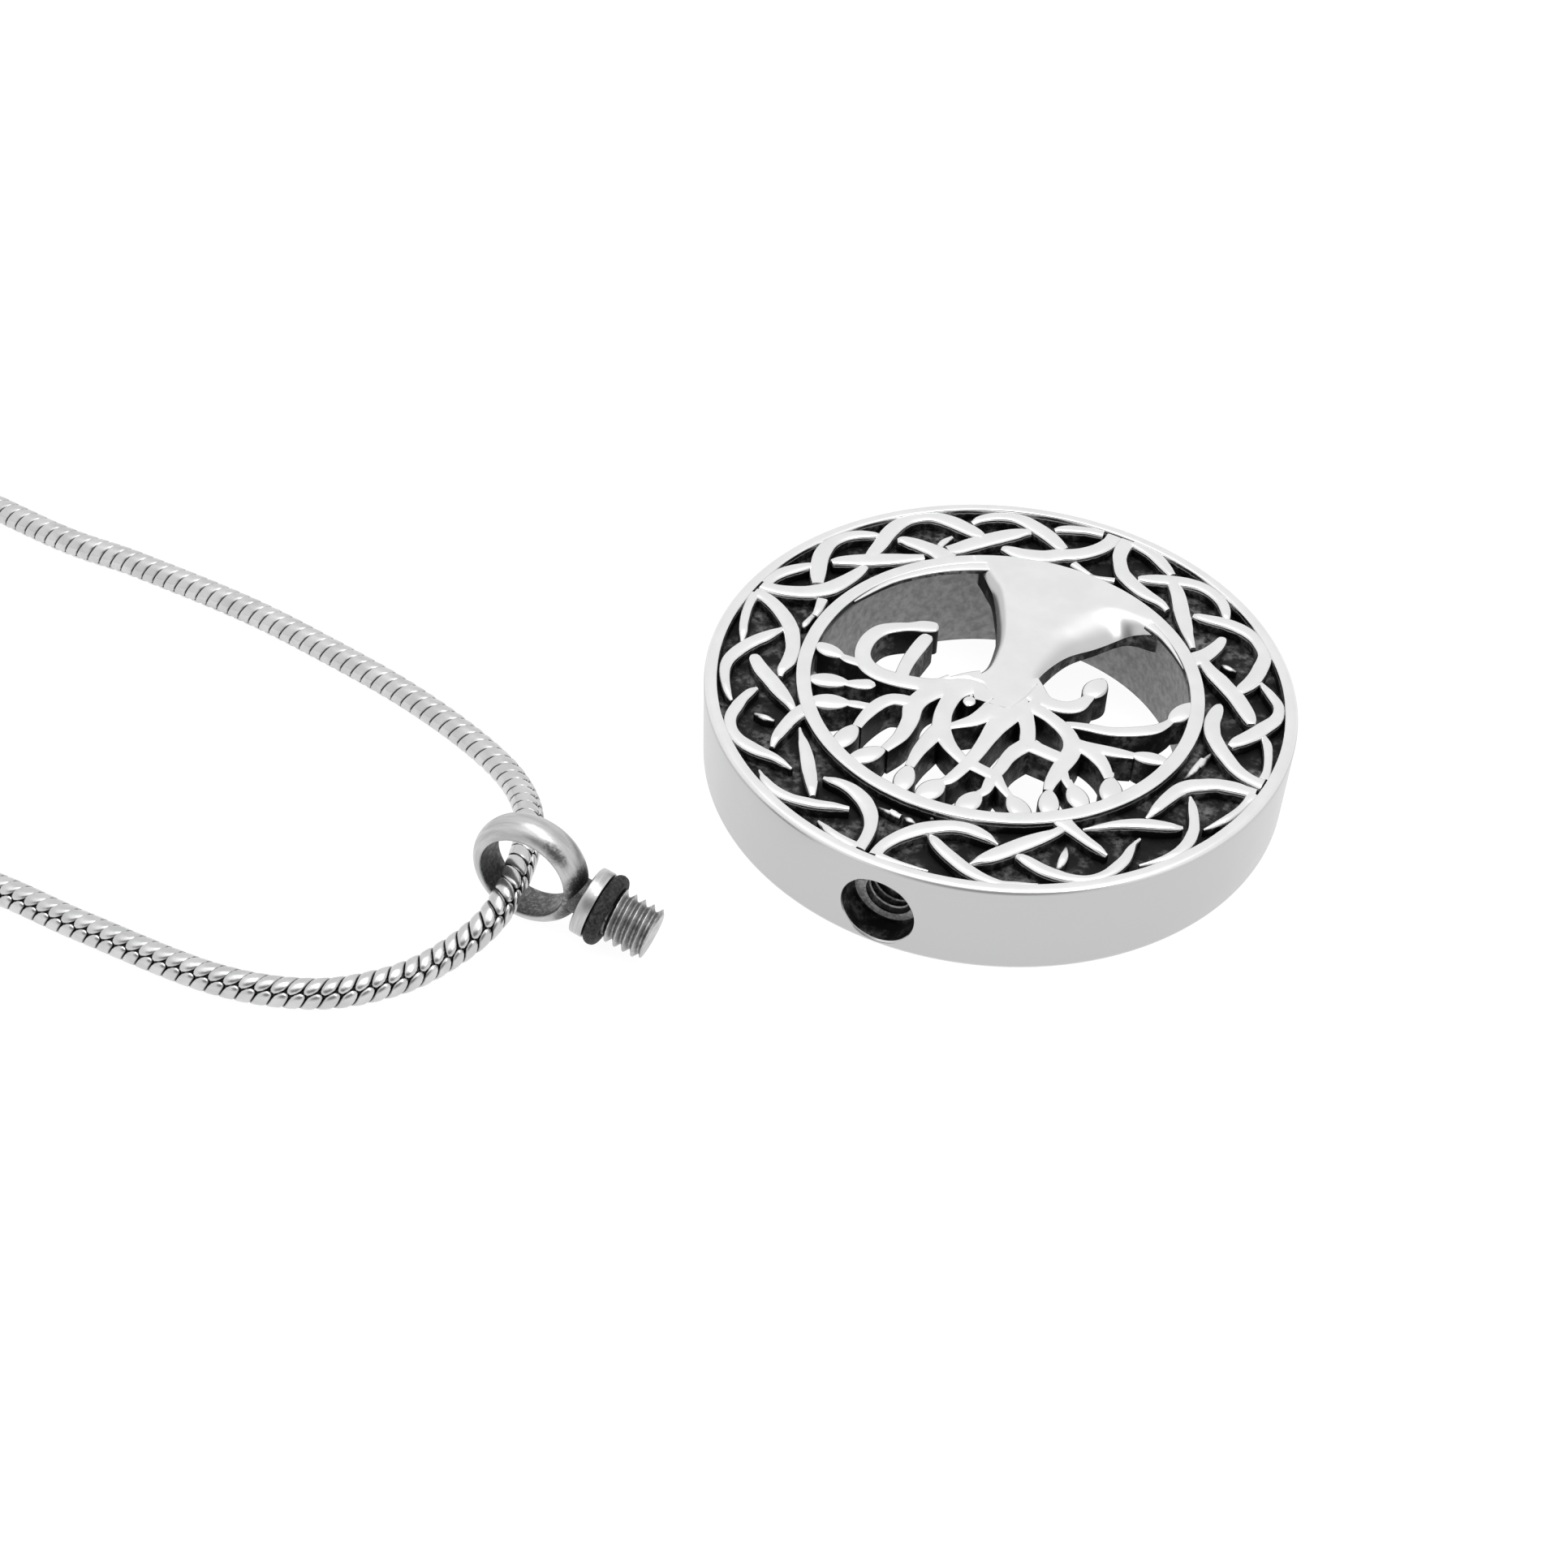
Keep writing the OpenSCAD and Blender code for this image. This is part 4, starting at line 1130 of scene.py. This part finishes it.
def cast_steel():
    """Polished steel whose recesses and pierced walls are blackened, with painted shade in the
    hole.
    """
    n = Nodes(bpy.data.materials.new("cast_steel"))
    x, y, z = (n.times(c, 1000.0) for c in n.split(n.place))
    r = n.length(x, y)
    axis_r = n.length(x, n.minus(z, HOLE_Z))
    upright = n.split(n.add("ShaderNodeNewGeometry").outputs["Normal"])[2]
    fine = n.noise(2600, 6, 0.65)
    broad = n.noise(560, 5, 0.65)
    specks = n.noise(6500, 3, 0.7)

    uneven = n.times(n.minus(fine, 0.5), 0.16)
    level = n.plus(z, uneven)
    in_recess = n.times(n.ramp(r, RIM_R + 0.03, RIM_R), n.ramp(r, *BLACK_BAND))
    low_in_recess = n.times(in_recess, n.ramp(level, *BLACK_HEIGHT))
    inside = n.ramp(r, *BLACK_INSIDE)
    low_inside = n.times(inside, n.ramp(n.plus(upright, uneven), 0.62, 0.34))
    # Painted shade inside the hole, where its shadow falls
    hole_shade = n.times(n.ramp(axis_r, SEAT_R + 0.03, SEAT_R + 0.01), n.ramp(y, 8, 8.4),
                      n.ramp(r, *EDGE_ZONE))
    # Black where recesses and pierced walls are blackened, and as painted shade in the hole
    black = n.math("MAXIMUM", low_in_recess, low_inside, hole_shade)

    # Patches of the blackening that are worn to grey, and lighter walls deep in the opening
    worn = n.times(n.ramp(broad, 0.44, 0.66), n.ramp(fine, 0.36, 0.62))
    black_tone = n.mix(worn, grey(0.006), grey(0.2))
    wall_tone = n.mix(n.ramp(fine), grey(0.19, 0.002), grey(0.32, 0.002))
    deep = n.times(n.ramp(level, *WALL_HEIGHT), n.times(inside, n.ramp(r, *WALL_ZONE)))
    dark_tone = n.mix(deep, black_tone, wall_tone)
    # Painted light in the hole, on the shoulder below the seat and the crests of the tapped thread
    shoulder = n.times(n.ramp(y, SEAT_Y + 0.02, SEAT_Y + 0.01),
                       n.ramp(y, SEAT_Y - 0.05, SEAT_Y - 0.02), n.ramp(axis_r, 1.66, 1.6))
    ridge = n.times(n.ramp(axis_r, TAPPED_R + 0.09, TAPPED_R + 0.02),
                    n.ramp(y, SEAT_Y - 0.05, SEAT_Y - 0.06))
    hole_lit = n.times(hole_shade, n.math("MAXIMUM", shoulder, ridge))
    hole_lit_tone = n.mix(n.ramp(specks, 0.35, 0.65), grey(0.3), grey(0.62))
    dark_tone = n.mix(hole_lit, dark_tone, hole_lit_tone)

    # Polished steel, greyer on the locket's side and the trunk's slopes: painted dark reflections
    steel = n.mix(n.ramp(broad), grey(0.76, 0.005), grey(0.8))
    # The side's grey is partly a satin finish as well, which is a touch rougher
    on_side = n.ramp(r, LOCKET_R - 0.08, LOCKET_R - 0.02)
    steel = n.mix(on_side, steel, grey(0.52, 0.005))
    slope = n.times(n.ramp(upright, 0.94, 0.8), n.ramp(y, -0.6, -1.6))
    steel = n.mix(n.times(inside, slope), steel, grey(0.56, 0.002))
    n.shade("Base Color", n.mix(black, steel, dark_tone))
    polish = n.plus(n.times(broad, 0.08), 0.2)
    n.shade("Roughness", n.plus(polish, n.times(on_side, 0.05), n.times(black, 0.33)))
    n.shade("Metallic", n.minus(1.0, n.times(black, 0.35)))
    n.bump(n.times(fine, n.plus(black, 0.01)), 0.7, 0.00005)
    return n.material


def satin_steel():
    """Tumbled steel of the bail and the screw, darkened in the eye and, as painted shade, around
    the neck.
    """
    n = Nodes(bpy.data.materials.new("satin_steel"))
    dark = n.attribute("dark")
    fine = n.noise(5200, 5, 0.7)
    broad = n.noise(700, 4, 0.6)
    along = n.filled(n.add("ShaderNodeCombineXYZ"), X=n.times(n.attribute("turn"), 0.45),
                     Y=n.times(n.attribute("side"), 4.5))
    streak = n.noise(1.0, 4, 0.6, along.outputs[0])
    steel = n.mix(n.ramp(streak, 0.36, 0.64), grey(0.43, 0.005), grey(0.55))
    # Dark tone of the eye, of the painted shade at the neck and in the grooves, and of the painted
    # reflection
    darkened_tone = n.mix(n.ramp(fine), grey(0.012), grey(0.16))
    darkening = n.plus(dark, n.times(dark, n.minus(n.ramp(fine), 0.5)))
    n.shade("Base Color", n.mix(n.ramp(darkening, 0.05, 0.95), steel, darkened_tone))
    rough = n.plus(n.times(fine, 0.16), n.ramp(broad, to_low=0.2, to_high=0.26))
    n.shade("Roughness", n.plus(rough, n.times(dark, 0.2)))
    n.shade("Metallic", 1.0)
    n.bump(fine, 0.35, 0.00002)
    return n.material


def seal_rubber():
    """Black rubber with a dull, slightly dusty surface."""
    n = Nodes(bpy.data.materials.new("seal_rubber"))
    fine = n.noise(4800, 6, 0.75)
    n.shade("Base Color", n.mix(n.ramp(fine, 0.38), grey(0.005), grey(0.055)))
    n.shade("Roughness", n.plus(n.times(fine, 0.25), 0.55))
    n.shade("Specular IOR Level", 0.25)
    n.bump(fine, 0.4, 0.00003)
    return n.material


def chain_steel():
    """Bright rolled steel, with painted shade in the slits between the plates."""
    n = Nodes(bpy.data.materials.new("chain_steel"))
    fine = n.noise(4200, 5, 0.65)
    broad = n.noise(900, 3, 0.5)
    steel = n.mix(n.ramp(broad), grey(0.53, 0.005), grey(0.63))
    n.shade("Base Color", n.mix(n.ramp(n.attribute("dark"), 0.25, 0.75), steel, grey(0.03)))
    n.shade("Roughness", n.plus(n.times(fine, 0.14), 0.16))
    n.shade("Metallic", 1.0)
    n.bump(fine, 0.3, 0.00002)
    return n.material


def clasp_steel():
    """Turned and polished steel."""
    n = Nodes(bpy.data.materials.new("clasp_steel"))
    fine = n.noise(3800, 5, 0.65)
    rings = n.math("SINE", n.times(n.split(n.place)[1], 60000.0), 0.0)
    n.shade("Base Color", n.mix(n.ramp(fine), grey(0.6, 0.005), grey(0.7)))
    n.shade("Roughness", n.plus(n.times(fine, 0.12), 0.16))
    n.shade("Metallic", 1.0)
    n.bump(n.plus(fine, n.times(rings, 0.2)), 0.2, 0.00002)
    return n.material


def camera():
    """A camera at the photograph's viewing angle."""
    data = bpy.data.cameras.new("camera")
    data.sensor_width = 36
    data.lens = CAMERA_LENS
    data.clip_start = 0.002
    data.clip_end = 20
    data.dof.use_dof = False
    eye = placed("camera", data)
    right, down, forward = (Vector(v).normalized() for v in
                            (CAMERA_RIGHT, CAMERA_DOWN, CAMERA_FORWARD))
    turn = Matrix((right, -down, -forward)).transposed()
    eye.matrix_world = Matrix.Translation(Vector(CAMERA_AT) * MM) @ turn.to_4x4()
    bpy.context.scene.camera = eye


def bar_light(name, start, end, target, width, power):
    """A long soft light between two points, which looks at a third."""
    data = bpy.data.lights.new(name, "AREA")
    data.shape = "RECTANGLE"
    start, end = Vector(start), Vector(end)
    data.size = (end - start).length
    data.size_y = width
    data.energy = power
    middle = (start + end) / 2
    z = (middle - Vector(target)).normalized()
    y = z.cross(end - start).normalized()
    turn = Matrix((y.cross(z), y, z)).transposed()
    placed(name, data).matrix_world = Matrix.Translation(middle) @ turn.to_4x4()


def studio():
    """A plain pale floor and plain soft light."""
    plane = bpy.data.meshes.new("floor")
    corners = [(-1, -1), (1, -1), (1, 1), (-1, 1)]
    plane.from_pydata([(GROUND_HALF * x, GROUND_HALF * y, GROUND_Z) for x, y in corners], [],
                      [(0, 1, 2, 3)])
    floor = placed("floor", plane)
    n = Nodes(bpy.data.materials.new("floor"))
    for name, value in GROUND_LOOK.items():
        n.shade(name, value)
    plane.materials.append(n.material)
    world = bpy.data.worlds.new("studio")
    sky = Nodes(world, "Background", "Generated")
    overhead = sky.times(sky.ramp(sky.split(sky.place)[2], *OVERHEAD), OVERHEAD_GAIN)
    facing = sky.add("ShaderNodeVectorMath", operation="DOT_PRODUCT")
    sky.put(facing.inputs[0], sky.place)
    sky.put(facing.inputs[1], [-c for c in CAMERA_FORWARD])
    dim = sky.times(sky.ramp(facing.outputs["Value"], *DIM_SIDE), DIM_LOSS)
    sky.shade("Strength", sky.minus(sky.plus(overhead, SKY), dim))
    sky.shade("Color", (1, 1, 1, 1))
    bpy.context.scene.world = world
    bar_light("key", *KEY_LIGHT)
    bpy.context.scene.view_settings.view_transform = "Standard"


camera()
finished(locket(), cast_steel(), "polished_steel", "locket")
finished(bail_screw(), satin_steel(), "satin_steel", "bail_screw")
finished(seal(), seal_rubber(), "seal_rubber", "seal_ring")
chain_path = Path()
links = int(chain_path.length / LINK)
plates = chain_steel()
cuts = [0, links // 3, 2 * links // 3, links]
for part, (start, stop) in enumerate(zip(cuts[:-1], cuts[1:])):
    core_end = chain_path.length if stop == links else stop * LINK
    run = chain_piece(f"chain_run_{part}", chain_path, start, stop, start * LINK, core_end)
    finished(run, plates, "chain_steel", "chain")
finished(clasp(), clasp_steel(), "chain_steel", "clasp")
studio()
